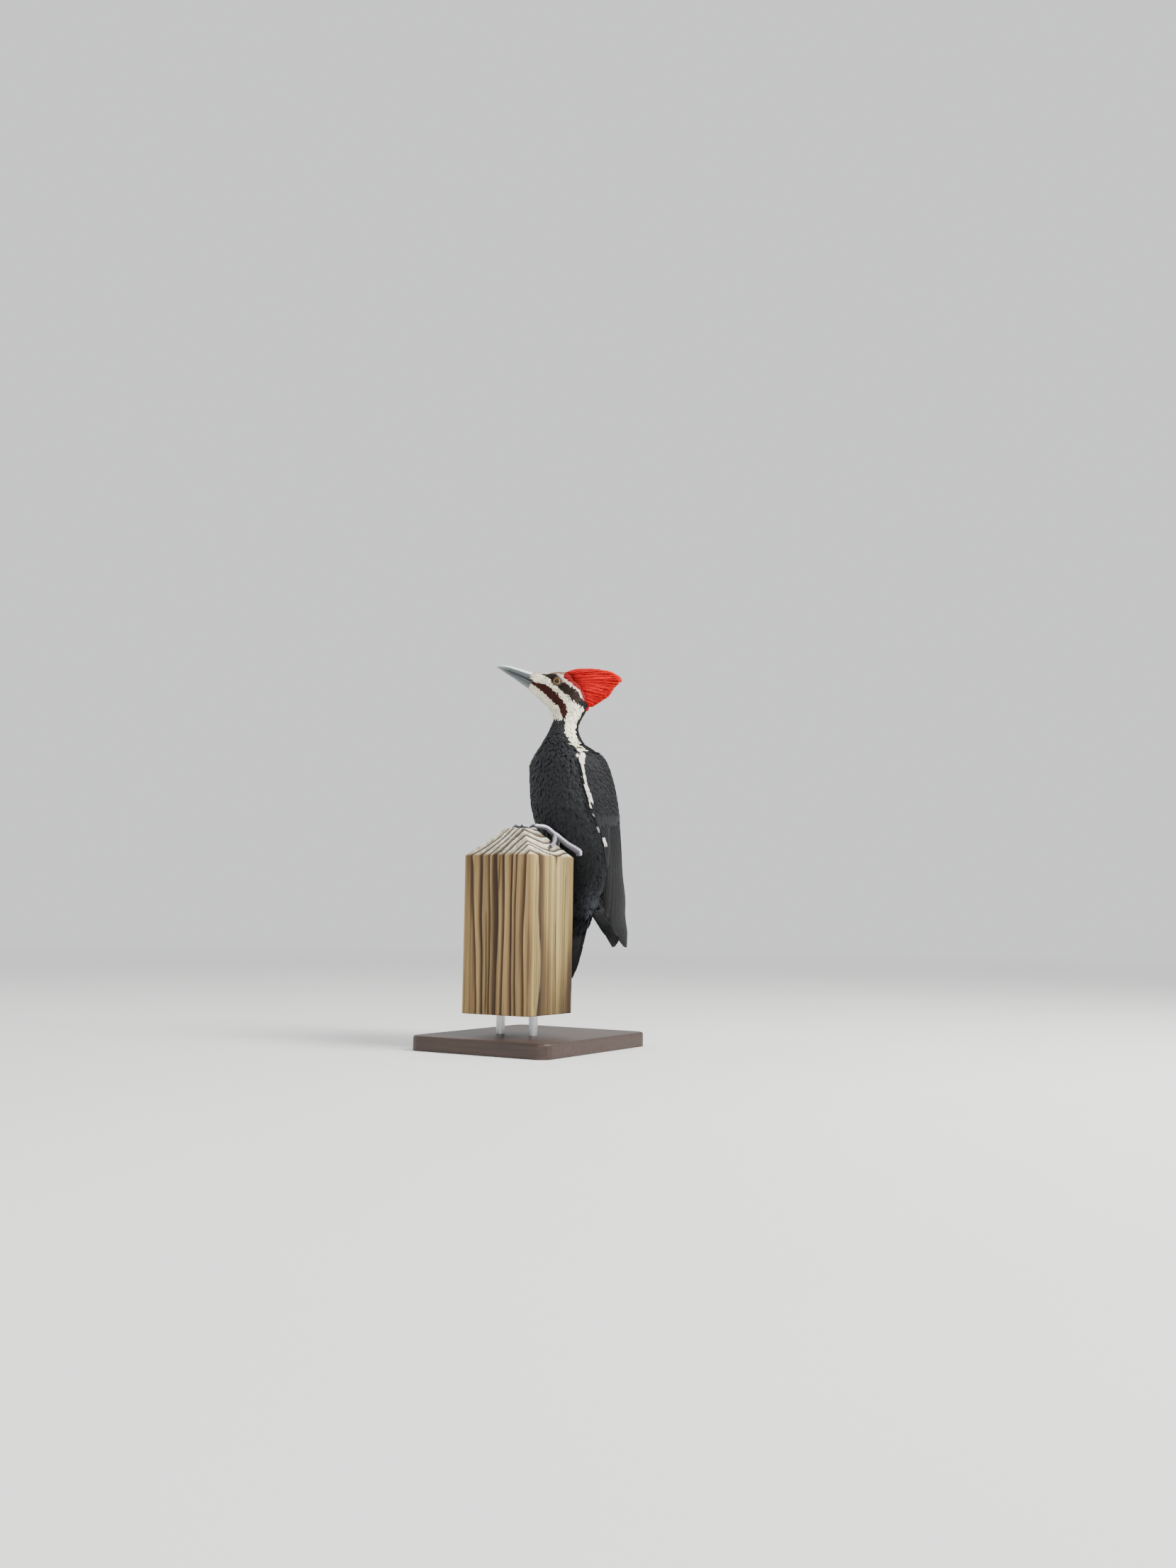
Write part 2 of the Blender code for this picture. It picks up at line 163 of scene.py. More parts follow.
def ovalRing(centre, side, front, half, reachFront, reachBack, angles):
    c, s = np.cos(angles), np.sin(angles)
    reach = np.where(c > 0.0, reachFront, reachBack)
    return centre + np.multiply.outer(reach * c, front) + np.multiply.outer(half * s, side)


def ringsAlong(path, radius, run, upward, around, flat=1.0):
    angles = fullTurn(around)[:, None]
    beside = np.cross(run, upward)[:, None] * flat
    spokes = np.cos(angles) * upward[:, None] + np.sin(angles) * beside
    return path[:, None] + radius[:, None, None] * spokes


# meshes
def put(data, key, values, kind=np.float32):
    data.foreach_set(key, np.asarray(values, kind).ravel())


def newMesh(name, points, polygons, maps=None, colours=None, smooth=True):
    # points in millimetres; polygons as arrays of equal-sized faces; maps as vertex coordinates by name
    mesh = bpy.data.meshes.new(name)
    sizes = np.concatenate([np.full(len(p), p.shape[1]) for p in polygons])
    corners = np.concatenate([p.ravel() for p in polygons])
    mesh.vertices.add(len(points))
    put(mesh.vertices, "co", points * mm)
    mesh.loops.add(len(corners))
    put(mesh.loops, "vertex_index", corners, np.int32)
    mesh.polygons.add(len(sizes))
    put(mesh.polygons, "loop_start", np.cumsum(sizes) - sizes, np.int32)
    put(mesh.polygons, "loop_total", sizes, np.int32)
    mesh.update(calc_edges=True)
    for key, places in (maps or {}).items():
        put(mesh.uv_layers.new(name=key).data, "uv", places[corners])
    if colours is not None:
        paintPoints(mesh, colours)
    if smooth:
        mesh.shade_smooth()
    return addObject(name, mesh)


def paintPoints(mesh, colours):  # one colour, or one for each vertex
    colours = np.broadcast_to(colours, (len(mesh.vertices), 3))
    layer = mesh.color_attributes.new("plume", "FLOAT_COLOR", "POINT")
    put(layer.data, "color", np.column_stack([colours, np.ones(len(colours))]))


def turnOutwards(piece):
    edit = bmesh.new()
    edit.from_mesh(piece.data)
    bmesh.ops.recalc_face_normals(edit, faces=edit.faces)
    edit.to_mesh(piece.data)
    edit.free()


def loftFaces(rows, columns, closed=True, start=0):  # quads between rings, turning outwards along x across
    index = start + np.arange(rows * columns).reshape(rows, columns)
    if closed:
        index = np.concatenate([index, index[:, :1]], 1)
    return np.stack([index[:-1, :-1], index[1:, :-1], index[1:, 1:], index[:-1, 1:]], -1).reshape(-1, 4)


def newTubes(name, tubes, maps=None, colours=None, smooth=True):  # closed skins over rings, in one mesh
    faces, start = [], 0
    for rings in tubes:
        rows, columns = rings.shape[:2]
        cap = start + np.arange(columns)[None]
        faces += [loftFaces(rows, columns, True, start), cap, cap[:, ::-1] + (rows - 1) * columns]
        start += rows * columns
    points = np.concatenate([rings.reshape(-1, 3) for rings in tubes])
    piece = newMesh(name, points, faces, maps, colours, smooth)
    turnOutwards(piece)
    return piece


def fuse(piece, voxel, rounds):  # one skin over all its tubes, then eased
    bpy.context.view_layer.objects.active = piece
    piece.select_set(True)
    piece.data.remesh_voxel_size = voxel * mm
    bpy.ops.object.voxel_remesh()
    ease = piece.modifiers.new("Ease", "SMOOTH")
    ease.iterations = rounds
    bpy.ops.object.modifier_apply(modifier=ease.name)
    piece.select_set(False)


def finishPiece(piece, material, slot, *nodes):
    piece.data.materials.clear()
    piece.data.materials.append(material)
    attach(piece, "root")
    if nodes:
        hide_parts(*nodes)
    return piece


def treeOf(spots):
    tree = KDTree(len(spots))
    for i, spot in enumerate(spots):
        tree.insert(spot, i)
    tree.balance()
    return tree


class Bed:  # a curved sheet to lay feathers on: rows run with the lie, columns across it
    def __init__(self, points, closed):
        self.points, self.closed = points, closed
        self.rows, self.columns = points.shape[:2]
        along = np.gradient(points, axis=0)
        if closed:
            across = np.gradient(np.concatenate([points[:, -1:], points, points[:, :1]], 1), axis=1)[:, 1:-1]
        else:
            across = np.gradient(points, axis=1)
        self.normals = unit(np.cross(along, across))
        self.stepAlong = np.maximum(np.linalg.norm(along, axis=-1), 1e-3)
        self.stepAcross = np.maximum(np.linalg.norm(across, axis=-1), 1e-3)

    def read(self, table, row, column, extend=False):
        if not extend:
            row = np.clip(row, 0, self.rows - 1)
            column = column if self.closed else np.clip(column, 0, self.columns - 1)
        r = np.clip(np.floor(row).astype(int), 0, self.rows - 2)
        c = np.floor(column).astype(int)
        if not self.closed:
            c = np.clip(c, 0, self.columns - 2)
        down, part = row - r, column - c
        if table.ndim == 3:
            down, part = down[..., None], part[..., None]
        c, d = c % self.columns, (c + 1) % self.columns
        upper = table[r, c] * (1 - part) + table[r, d] * part
        lower = table[r + 1, c] * (1 - part) + table[r + 1, d] * part
        return upper * (1 - down) + lower * down

    def lay(self, row, column, height):
        spot = self.read(self.points, row, column, extend=True)
        return spot + unit(self.read(self.normals, row, column)) * np.asarray(height)[..., None]


scatterPlan = {"crowd": 6, "room": 0.86}  # tries for each root, clear reach as a share of the spacing


def scatter(bed, spacing):  # roots at least about one spacing apart; none where spacing is 0
    area = bed.stepAlong * bed.stepAcross
    if not bed.closed:
        area[:, -1] = 0.0
    area[-1] = 0.0
    weight = np.where(spacing > 0.0, area / np.maximum(spacing, 0.1) ** 2, 0.0).ravel()
    count = int(weight.sum() * scatterPlan["crowd"])
    cells = draw.choice(weight.size, size=count, p=weight / weight.sum())
    row, column = cells // bed.columns + draw.random(count), cells % bed.columns + draw.random(count)
    spots = bed.lay(row, column, np.zeros(count))
    tree = treeOf(spots)
    room = spacing.ravel()[cells] * scatterPlan["room"]
    free, kept = np.ones(count, bool), []
    for i in range(count):
        if free[i]:
            kept.append(i)
            free[[near for spot, near, distance in tree.find_range(spots[i], room[i])]] = False
    return row[kept], column[kept]


# feather shapes
tuftShape = {"along": (0.0, 0.35, 0.68, 0.86, 1.0), "across": (-1.0, -0.5, 0.0, 0.5, 1.0),
             "width": (0.42, 0.9, 1.0, 0.84, 0.36), "round": (-0.06, 0.0, 0.02, 0.05, 0.1)}
bristleShape = {"along": (0.0, 0.35, 0.66, 0.87, 1.0), "across": (-1.0, 0.0, 1.0),
                "width": (0.5, 0.95, 1.0, 0.7, 0.14), "round": (0.0, 0.0, 0.0, 0.02, 0.03)}
tuftPlan = {"ragged": 0.03, "outerFrom": 0.7, "curl": 2.2, "camber": 0.07, "crease": 70.0}
bakePatch = 0.0015  # half the width of a tuft's patch on the unwrapped bed


def tuftFaces(rows, columns, count):  # closed lenses: cambered upper side, flat underside
    index = np.arange(rows * columns).reshape(rows, columns)
    under = np.stack([index[:-1, 0], index[:-1, -1], index[1:, -1], index[1:, 0]], -1)
    faces = (np.concatenate([loftFaces(rows, columns, False), under]), index[:1], index[-1:, ::-1])
    start = (np.arange(count) * rows * columns)[:, None, None]
    return [(f[None] + start).reshape(-1, f.shape[1]) for f in faces]


def evenOut(share):
    low, high = share.min(), share.max()
    return (0.03 + 0.94 * (share - low) / max(high - low, 1e-6))[:, None]


def tuftMaps(x, y, row, column):  # where each vertex is on its vane, and on its root's patch
    x, y = (np.broadcast_to(part, (len(row), len(part))) for part in (x, y))
    bake = np.stack([evenOut(column) + bakePatch * x, evenOut(row) + bakePatch * (2.0 * y - 1.0)], -1)
    return {"vane": np.stack([x * 0.5 + 0.5, y], -1).reshape(-1, 2), "OFBake": bake.reshape(-1, 2)}


def layTufts(name, bed, row, column, length, width, lift, yaw, colour, shape=tuftShape, sink=0.25):
    # one joined mesh of feathers that follow the bed; colour is a function of vertex place
    count, (u0, v0, wide, rounding) = len(row), (np.array(part) for part in shape.values())
    u = (u0[:, None] - rounding[:, None] * v0**2 * 2.0).ravel()
    x = (wide[:, None] * v0).ravel()
    v = np.tile(v0, len(u0))
    ragged = np.repeat((u0 > tuftPlan["outerFrom"]).astype(float), len(v0))
    along = (u + draw.normal(0.0, tuftPlan["ragged"], (count, len(u))) * ragged) * length[:, None]
    across = x * width[:, None] / 2.0
    c, s = np.cos(yaw)[:, None], np.sin(yaw)[:, None]
    stepAlong, stepAcross = (bed.read(step, row, column)[:, None] for step in (bed.stepAlong, bed.stepAcross))
    rise = 1.0 - (1.0 - np.clip(u, 0.0, 1.0)) ** tuftPlan["curl"]
    height = -sink + (lift[:, None] + sink) * rise + tuftPlan["camber"] * width[:, None] * (1.0 - v**2)
    points = bed.lay(row[:, None] + (along * c - across * s) / stepAlong,
                     column[:, None] + (along * s + across * c) / stepAcross, height)
    coat = newMesh(name, points.reshape(-1, 3), tuftFaces(len(u0), len(v0), count),
                   tuftMaps(x, u, row, column), colour(row, column, u, v).reshape(-1, 3))
    coat.data.set_sharp_from_angle(angle=math.radians(tuftPlan["crease"]))
    return coat


def plainTint(colour, vary, rim=0.0):  # painted shade towards the root, where the feathers overlap, and each feather a little different
    def tint(row, column, u, v):
        shade = (0.6 + 0.4 * u + rim * v**2)[None, :, None]
        return colour * (shade * (1.0 + draw.normal(0.0, vary, (len(row), 1, 1))))
    return tint


def layPlumes(name, start, middle, tip, facing, form, width, camber, paint, row, column):
    # one joined mesh of free plumes, curved from start to tip; form is each step's share of the width
    count, steps = len(start), len(form)
    share = even(steps)
    centre = bent(start[:, None], middle[:, None], tip[:, None], share[:, None])
    run = unit(np.gradient(centre, axis=1))
    face = squareTo(run, facing)
    v = np.array([-1.0, 0.0, 1.0])
    width, x = width[:, None, None, None], form[:, None] * v
    points = centre[:, :, None] + np.cross(face, run)[:, :, None] * (x[..., None] * width / 2.0)
    points = points + face[:, :, None] * (camber * width * (1 - v**2)[:, None])
    colours = np.clip(np.broadcast_to(paint[:, :, None], points.shape), 0.0, 1.0)
    maps = tuftMaps(x.ravel(), np.repeat(share, 3), row, column)
    return newMesh(name, points.reshape(-1, 3), tuftFaces(steps, 3, count), maps, colours.reshape(-1, 3))


# finishes
class Finish:  # a material with short ways to add to it; inputs are sockets to link or plain values
    def __init__(self, name, roughness, **values):
        self.material = bpy.data.materials.new(name)
        self.material.use_nodes = True
        self.tree = self.material.node_tree
        self.shader = self.tree.nodes["Principled BSDF"]
        for key, value in {"Roughness": roughness, **values}.items():
            self.give(self.shader.inputs[key.replace("_", " ")], value)

    def give(self, socket, value):
        if isinstance(value, bpy.types.NodeSocket):
            self.tree.links.new(value, socket)
        else:
            socket.default_value = value

    def add(self, kind, inputs, **settings):
        node = self.tree.nodes.new("ShaderNode" + kind)
        for key, value in settings.items():
            setattr(node, key, value)
        for key, value in inputs.items():
            self.give(node.inputs[key], value)
        return node.outputs

    def place(self):
        return self.add("TexCoord", {})["Object"]

    def vane(self):
        return self.add("UVMap", {}, uv_map="vane")["UV"]

    def plume(self):
        return self.add("Attribute", {}, attribute_name="plume")["Color"]

    def calc(self, operation, *values):
        return self.add("Math", dict(enumerate(values)), operation=operation)[0]

    def vector(self, operation, *values):
        outputs = self.add("VectorMath", dict(enumerate(values)), operation=operation)
        return outputs["Value" if operation == "LENGTH" else "Vector"]

    def stretch(self, place, *scale):
        return self.add("Mapping", {"Vector": place, "Scale": scale})["Vector"]

    def noise(self, place, scale, detail, roughness=0.5):
        size = {"Scale": scale, "Detail": detail, "Roughness": roughness}
        return self.add("TexNoise", {"Vector": place, **size})["Fac"]

    def remap(self, value, low, high, toLow, toHigh, **settings):
        ends = {"From Min": low, "From Max": high, "To Min": toLow, "To Max": toHigh}
        return self.add("MapRange", {"Value": value, **ends}, **settings)["Result"]

    def mix(self, first, second, factor=1.0, kind="MULTIPLY"):
        return self.add("Mix", {"Factor": factor, 6: first, 7: second}, data_type="RGBA", blend_type=kind)[2]

    def ramp(self, factor, *stops):
        colour = self.add("ValToRGB", {"Fac": factor})["Color"]
        elements = colour.node.color_ramp.elements
        while len(elements) < len(stops):
            elements.new(0.5)
        for element, (place, shade) in zip(elements, stops):
            element.position = place
            element.color = (*shade, 1.0)
        return colour

    def done(self, colour, height=None, strength=0.0, distance=0.0):
        self.give(self.shader.inputs["Base Color"], colour)
        if height:
            bump = self.add("Bump", {"Height": height, "Strength": strength, "Distance": distance})
            self.give(self.shader.inputs["Normal"], bump["Normal"])
        return self.material


def featherFinish(name, roughness, barbs, depth, gloss):  # barbs slant from the shaft to both edges
    finish = Finish(name, roughness, Specular_IOR_Level=gloss)
    parts = finish.add("SeparateXYZ", {"Vector": finish.vane()})
    aside = finish.calc("ABSOLUTE", finish.calc("SUBTRACT", parts["X"], 0.5))
    slant = finish.calc("MULTIPLY_ADD", aside, -0.9 * barbs, 0.0)
    phase = finish.calc("MULTIPLY_ADD", parts["Y"], barbs, slant)
    wave = finish.calc("SINE", finish.calc("MULTIPLY", phase, math.tau))
    cloud = finish.remap(finish.noise(finish.place(), 160.0, 2.0), 0.3, 0.7, 0.86, 1.12)
    level = finish.calc("MULTIPLY", finish.remap(wave, -1.0, 1.0, 0.84, 1.08), cloud)
    return finish.done(finish.mix(finish.plume(), level), wave, depth, 0.0001)


def skinFinish(name, roughness, scale, depth, seam):
    finish = Finish(name, roughness, Specular_IOR_Level=0.35)
    place = finish.place()
    cells = finish.add("TexVoronoi", {"Vector": place, "Scale": scale}, feature="DISTANCE_TO_EDGE")
    cloud = finish.remap(finish.noise(place, scale * 1.7, 3.0), 0.3, 0.7, 0.85, 1.12)
    level = finish.calc("MULTIPLY", finish.remap(cells["Distance"], 0.0, 0.18, seam, 1.0), cloud)
    return finish.done(finish.mix(finish.plume(), level), level, depth, 0.0002)


def billFinish():
    finish = Finish("billHorn", 0.34, Coat_Weight=0.25, Coat_Roughness=0.2)
    fine = finish.noise(finish.stretch(finish.vane(), 60.0, 5.0, 1.0), 1.0, 4.0, 0.6)
    colour = finish.mix(finish.plume(), finish.remap(fine, 0.3, 0.7, 0.8, 1.15))
    return finish.done(colour, fine, 0.35, 0.0002)


def clawFinish():
    finish = Finish("clawHorn", 0.42, Coat_Weight=0.12, Coat_Roughness=0.3, Specular_IOR_Level=0.35)
    level = finish.remap(finish.noise(finish.place(), 1400.0, 3.0), 0.3, 0.7, 0.8, 1.2)
    return finish.done(finish.mix(finish.plume(), level))


down = featherFinish("smallFeathers", 0.62, 14.0, 0.25, 0.2)
vanes = featherFinish("flightFeathers", 0.45, 70.0, 0.3, 0.26)
plumes = featherFinish("crestFeathers", 0.55, 26.0, 0.25, 0.12)
skinTissue = skinFinish("birdSkin", 0.7, 900.0, 0.3, 0.62)
lidTissue = skinFinish("lidSkin", 0.5, 2600.0, 0.5, 0.62)
scutes = skinFinish("footScutes", 0.45, 1500.0, 0.2, 0.8)
billHorn, clawHorn = billFinish(), clawFinish()


# flesh: one skin from the bill's root to the tail, inside the coat
# head and neck: along and height of the upper edge, the same of the lower edge, half width
head = (
    (16.3, 216.6, 4.2, 197.6, 8.4), (27.1, 215.2, 12.2, 190.8, 13.6), (37, 218.4, 19.8, 184.2, 16.6),
    (50, 218.4, 27, 177.6, 17.8), (64, 212.5, 30.8, 172.4, 18.4), (73, 201, 33, 168.4, 18.4),
    (76.5, 187.5, 34.2, 165.2, 17.8), (74, 174.5, 34.4, 162.4, 17),
)
neck = (
    head[-1], (67.8, 163.6, 33.8, 158.6, 16.6), (64, 153, 30.8, 151, 16.6),
    (66.8, 141.5, 26.2, 141, 20), (72.8, 131, 20.5, 131, 26),
)
trunk = (  # height, set-back, half width, reach to the front and to the back
    (130, 1.2, 26, 26, 26), (123.5, 5, 35.5, 32.5, 33.5), (115, 8, 43, 38.5, 40), (104, 11.7, 47, 43.5, 43.5),
    (85, 15.9, 49, 46.5, 46.5), (63, 19.5, 51, 47, 47.5), (45, 24, 51, 45, 46), (20, 32, 48, 40, 42),
    (0, 40, 43, 34, 38), (-15, 43, 38, 29, 37), (-30, 41, 32, 22, 30), (-45, 37, 25.5, 17, 18),
    (-58, 31, 23, 10.5, 11),
)
neckStart, trunkStart, tailStart = 7.0, 11.0, 23.0  # how far down the flesh each begins, in table rows
# the coat: how far down the flesh, a feather's length and width, spacing and depth
coatPlan = (
    (0, 2.6, 0.85, 0.66, 0.6), (1.5, 3.2, 0.95, 0.74, 1), (3, 3.8, 1.1, 0.84, 1.3),
    (4.5, 4.8, 1.3, 1, 1.6), (6.5, 6.2, 1.7, 1.25, 2), (8.5, 7.6, 2.2, 1.5, 2.6), (10.5, 9.4, 2.9, 1.9, 3.2),
    (12.5, 11, 3.5, 2.2, 3.8), (16, 13, 4.2, 2.5, 4.2), (20, 14, 4.6, 2.7, 4.4), (23, 15, 5, 2.8, 3.4),
)
flesh = {"columns": 96, "rowStep": 1.25, "ease": 2.6, "voxel": 1.1, "rounds": 3}
# place across, set-back, height and radius, down to the feathered joint above each foot
thigh = ((20, 34, 40, 15), (22, 26, 24, 12.5), (23, 16, 13, 8), (23, 9, 7.5, 5))
heel = {1.0: (23.8, 5.8, 5.8, 5.3), -1.0: (24.3, 0.2, 6.4, 5.3)}
thighPlan = {"rows": 30, "columns": 40, "coat": 1.6, "spacing": 1.9, "length": 8.0, "width": 2.6,
             "lift": 1.7, "finer": 0.64}
# the eye's angles are in degrees from its axis: the lids' opening, the hole in the skin, the bare ring
eye = {"along": 38.5, "height": 204.6, "lateral": 10.9, "radius": 6.4, "mound": 6.95,
       "halfLength": 40.0, "halfHeight": 32.0, "hole": 45.0, "bareBehind": 46.0, "bareBefore": 53.0}


def planAt(column, s):
    table = np.array(coatPlan)
    return np.interp(s, table[:, 0], table[:, column])


def headRing(row, yaw, inset, angles):
    topAlong, topHeight, lowAlong, lowHeight, half = row
    top, low = onHead(topAlong, topHeight), onHead(lowAlong, lowHeight)
    downward = unit(low - top)
    lean = math.atan2(-downward[2], math.hypot(downward[0], downward[1]))
    front = forward(yaw) * math.cos(lean) - skyward * math.sin(lean)
    reach = np.linalg.norm(low - top) / 2.0 - inset
    return ovalRing((top + low) / 2.0, leftOf(yaw), front, half - inset, reach, reach, angles)


def fleshRing(s, angles):
    inset = planAt(4, s)
    if s < neckStart:
        return headRing(readTable(head, s)[0], site["headYaw"], inset, angles)
    if s < trunkStart:
        part = (s - neckStart) / (trunkStart - neckStart)
        yaw = site["headYaw"] + (site["bodyYaw"] - site["headYaw"]) * part
        return headRing(readTable(neck, s - neckStart)[0], yaw, inset, angles)
    height, back, half, front, rear = readTable(trunk, s - trunkStart)[0]
    centre, reaches = onBody(0.0, back, height), np.array([half, front, rear]) - inset
    return ovalRing(centre, bodyLeft, bodyFront, *reaches, angles)


def eased(grid, sigma):  # smoothed along the rows, ends kept
    reach = int(3 * sigma)
    weights = np.exp(-0.5 * (np.arange(-reach, reach + 1) / sigma) ** 2)
    before, after = 2 * grid[:1] - grid[reach:0:-1], 2 * grid[-1:] - grid[-2:-reach - 2:-1]
    padded = np.concatenate([before, grid, after])
    return sum(w * padded[k:k + len(grid)] for k, w in enumerate(weights / weights.sum()))


def eyeCentre(side):
    return onHead(eye["along"], eye["height"], side * eye["lateral"])


def eyeAngle(points, side):  # degrees from the eye's outward axis, and distance from its centre
    offset = points - eyeCentre(side)
    distance = np.linalg.norm(offset, axis=-1)
    return np.degrees(np.arccos(np.clip(offset @ (headLeft * side) / distance, -1, 1))), distance


def raiseEyes(points):  # the flesh swells round each eyeball
    for side in sides.values():
        angle, distance = eyeAngle(points, side)
        need = eye["mound"] - distance
        drawIn = np.clip((88.0 - angle) / 30.0, 0.0, 1.0) * (distance < 10.5)
        push = np.where(angle < 84.0, np.where(need > 0.0, need, need * drawIn), 0.0)
        points = points + unit(points - eyeCentre(side)) * push[..., None]
    return points


def layFlesh():
    stations = np.arange(0.0, tailStart + 0.01, 0.05)
    rings = np.array([fleshRing(s, fullTurn(flesh["columns"])) for s in stations])
    steps = np.linalg.norm(np.diff(rings, axis=0), axis=-1).mean(1)
    run = np.concatenate([[0.0], np.cumsum(steps)])
    level = np.arange(0.0, run[-1], flesh["rowStep"])
    index = np.interp(level, run, np.arange(len(run)))
    low = np.minimum(index.astype(int), len(run) - 2)
    part = (index - low)[:, None, None]
    rings = rings[low] * (1 - part) + rings[low + 1] * part
    return Bed(raiseEyes(eased(rings, flesh["ease"])), True), np.interp(level, run, stations)


fleshBed, fleshStation = layFlesh()
fleshRows, fleshColumns = np.indices((fleshBed.rows, fleshBed.columns))
print("flesh laid out,", fleshBed.rows, "rows")


def stationAt(row):
    return np.interp(row, np.arange(fleshBed.rows), fleshStation)


def foldedAngle(column):  # degrees from the throat, the same on both sides
    turn = np.degrees(math.tau * column / flesh["columns"]) % 360.0
    return np.minimum(turn, 360.0 - turn)


# markings
# along the flesh: upper edges of chin patch, moustache, cheek, mask and brow, in degrees from the throat
bands = (
    (0, 66, 82, 150, 176, 178), (0.8, 60, 86, 138, 168, 172), (1.4, 57, 87, 121, 150, 156),
    (2.2, 51, 83, 103, 138, 148), (2.9, 48, 77, 91, 117, 136), (3.5, 47, 73, 87, 112, 121),
    (4.3, 48, 72, 87, 114, 121), (5.1, 51, 74, 92, 121, 127), (5.6, 53, 75, 97, 126, 131),
    (6.2, 55, 78, 110, 135, 138), (6.6, 57, 80, 128, 143, 146), (7.05, 62, 79, 148, 148, 148),
    (7.7, 62, 72, 137, 137, 137), (8.5, 60, 70, 125, 125, 125), (9.4, 60, 68, 114, 114, 114),
    (10, 60, 65, 107, 107, 107), (10.6, 60, 64, 100, 100, 100), (11.3, 60, 62, 91, 91, 91),
    (11.7, 60, 62, 86, 86, 86), (12.35, 60, 62, 76, 76, 76), (13.9, 60, 60, 68, 68, 68),
    (15.9, 60, 66, 70, 70, 70),
)
palette = tones(chin=(240, 232, 208), moustache=(58, 22, 14), cheek=(250, 243, 216), mask=(40, 28, 20),
                brow=(246, 220, 208), forehead=(142, 118, 100), nasal=(226, 216, 190),
                crown=(140, 12, 16), nape=(18, 17, 19), foreneck=(36, 37, 40), breast=(33, 35, 38),
                belly=(22, 24, 27), back=(18, 19, 22), vent=(27, 30, 37))
# stations where a colour ends, or where the brow begins
limits = {"nasal": 1.1, "brow": 2.4, "forehead": 2.9, "face": 6.1, "chin": 6.5, "nape": 12.5, "cheek": 15.9}


def markings(s, angle):  # colour of the plumage at a station and an angle from the throat, 0 to 180 degrees
    table = np.array(bands)
    chin, moustache, cheek, mask, brow = (np.interp(s, table[:, 0], table[:, k]) for k in range(1, 6))
    colour = blend(palette["foreneck"], palette["breast"], ramped(s, 8.0, 6.0))
    # the belly tone, also on the thighs, is darker than the breast's: painted shade under the body
    for name, share in (("belly", ramped(s, 15.5, 4.0)), ("vent", ramped(s, 20.5, 1.5)),
                        ("back", ramped(angle, 95.0, 30.0))):
        colour = blend(colour, palette[name], share)
    face, browed = s < limits["face"], s > limits["brow"]
    above = face & (angle >= np.where(browed, brow, mask))
    below = (angle < moustache) & (s < limits["chin"] + 0.9 * angle / 60.0)
    for name, own in (
        ("cheek", (angle >= moustache) & (angle < cheek) & (s < limits["cheek"])),
        ("nape", (angle >= cheek) & (s < limits["nape"])), ("mask", face & (angle >= cheek)),
        ("brow", face & (angle >= mask) & (angle < brow) & browed), ("crown", above),
        ("forehead", above & (s < limits["forehead"])), ("nasal", above & (s < limits["nasal"])),
        ("moustache", below & (angle >= chin)), ("chin", below & (angle < chin)),
    ):
        colour[own] = palette[name]
    return colour


def fleshColour(row, column, u, v):  # each feather has the colour of where its outer half lies
    s = stationAt(row + 0.55 * planAt(1, stationAt(row)) / flesh["rowStep"])
    s = s + draw.normal(0.0, 0.06, s.shape)
    angle = np.clip(foldedAngle(column) + draw.normal(0.0, 1.6, s.shape), 0.0, 180.0)
    base = markings(s, angle) * (1.0 + draw.normal(0.0, 0.09, s.shape))[:, None]
    # painted shade: each feather darker towards its root, where the feathers overlap
    shade = 0.55 + 0.45 * np.clip(u / 0.7, 0, 1) + 0.1 * v**2
    return np.clip(base[:, None, :] * shade[None, :, None], 0.0, 1.0)


# the skin
def layThigh(side):
    rows = readTable((*thigh, heel[side]), np.linspace(0, len(thigh), thighPlan["rows"]))
    rows[:, 3] -= thighPlan["coat"]
    rows[-5:, 3] *= (1.0, 0.95, 0.9, 0.72, 0.4)  # rounded behind the heel
    slant, angles = unit(bodyFront + skyward), fullTurn(thighPlan["columns"])
    rings = [ovalRing(onBody(side * lateral, back, height), bodyLeft, slant, radius, radius, radius, angles)
             for lateral, back, height, radius in rows]
    return Bed(np.array(rings), True)


thighBeds = {side: layThigh(side) for side in sides.values()}


def buildSkin():
    skin = newTubes("birdSkin", [fleshBed.points] + [bed.points for bed in thighBeds.values()])
    fuse(skin, flesh["voxel"], flesh["rounds"])
    edit = bmesh.new()
    edit.from_mesh(skin.data)
    for side in sides.values():  # the eyes' openings
        centres = np.array([face.calc_center_median() for face in edit.faces]) / mm
        angle, distance = eyeAngle(centres, side)
        opening = [face for face, own in zip(edit.faces, (angle < eye["hole"]) & (distance < 9.0)) if own]
        bmesh.ops.delete(edit, geom=opening, context="FACES")
    edit.to_mesh(skin.data)
    edit.free()
    tree = treeOf(fleshBed.points.reshape(-1, 3))
    nearest = np.array([tree.find(vertex.co / mm)[1] for vertex in skin.data.vertices])
    row, column = np.divmod(nearest, fleshBed.columns)
    # the skin takes the plumage colours at 0.6 as dark: painted shade between the feathers
    paintPoints(skin.data, markings(stationAt(row), foldedAngle(column)) * 0.6)
    skin.data.shade_smooth()
    finishPiece(skin, skinTissue, "body_plumage", "head", "neck", "trunk", "thigh_left", "thigh_right")


buildSkin()
print("skin built")


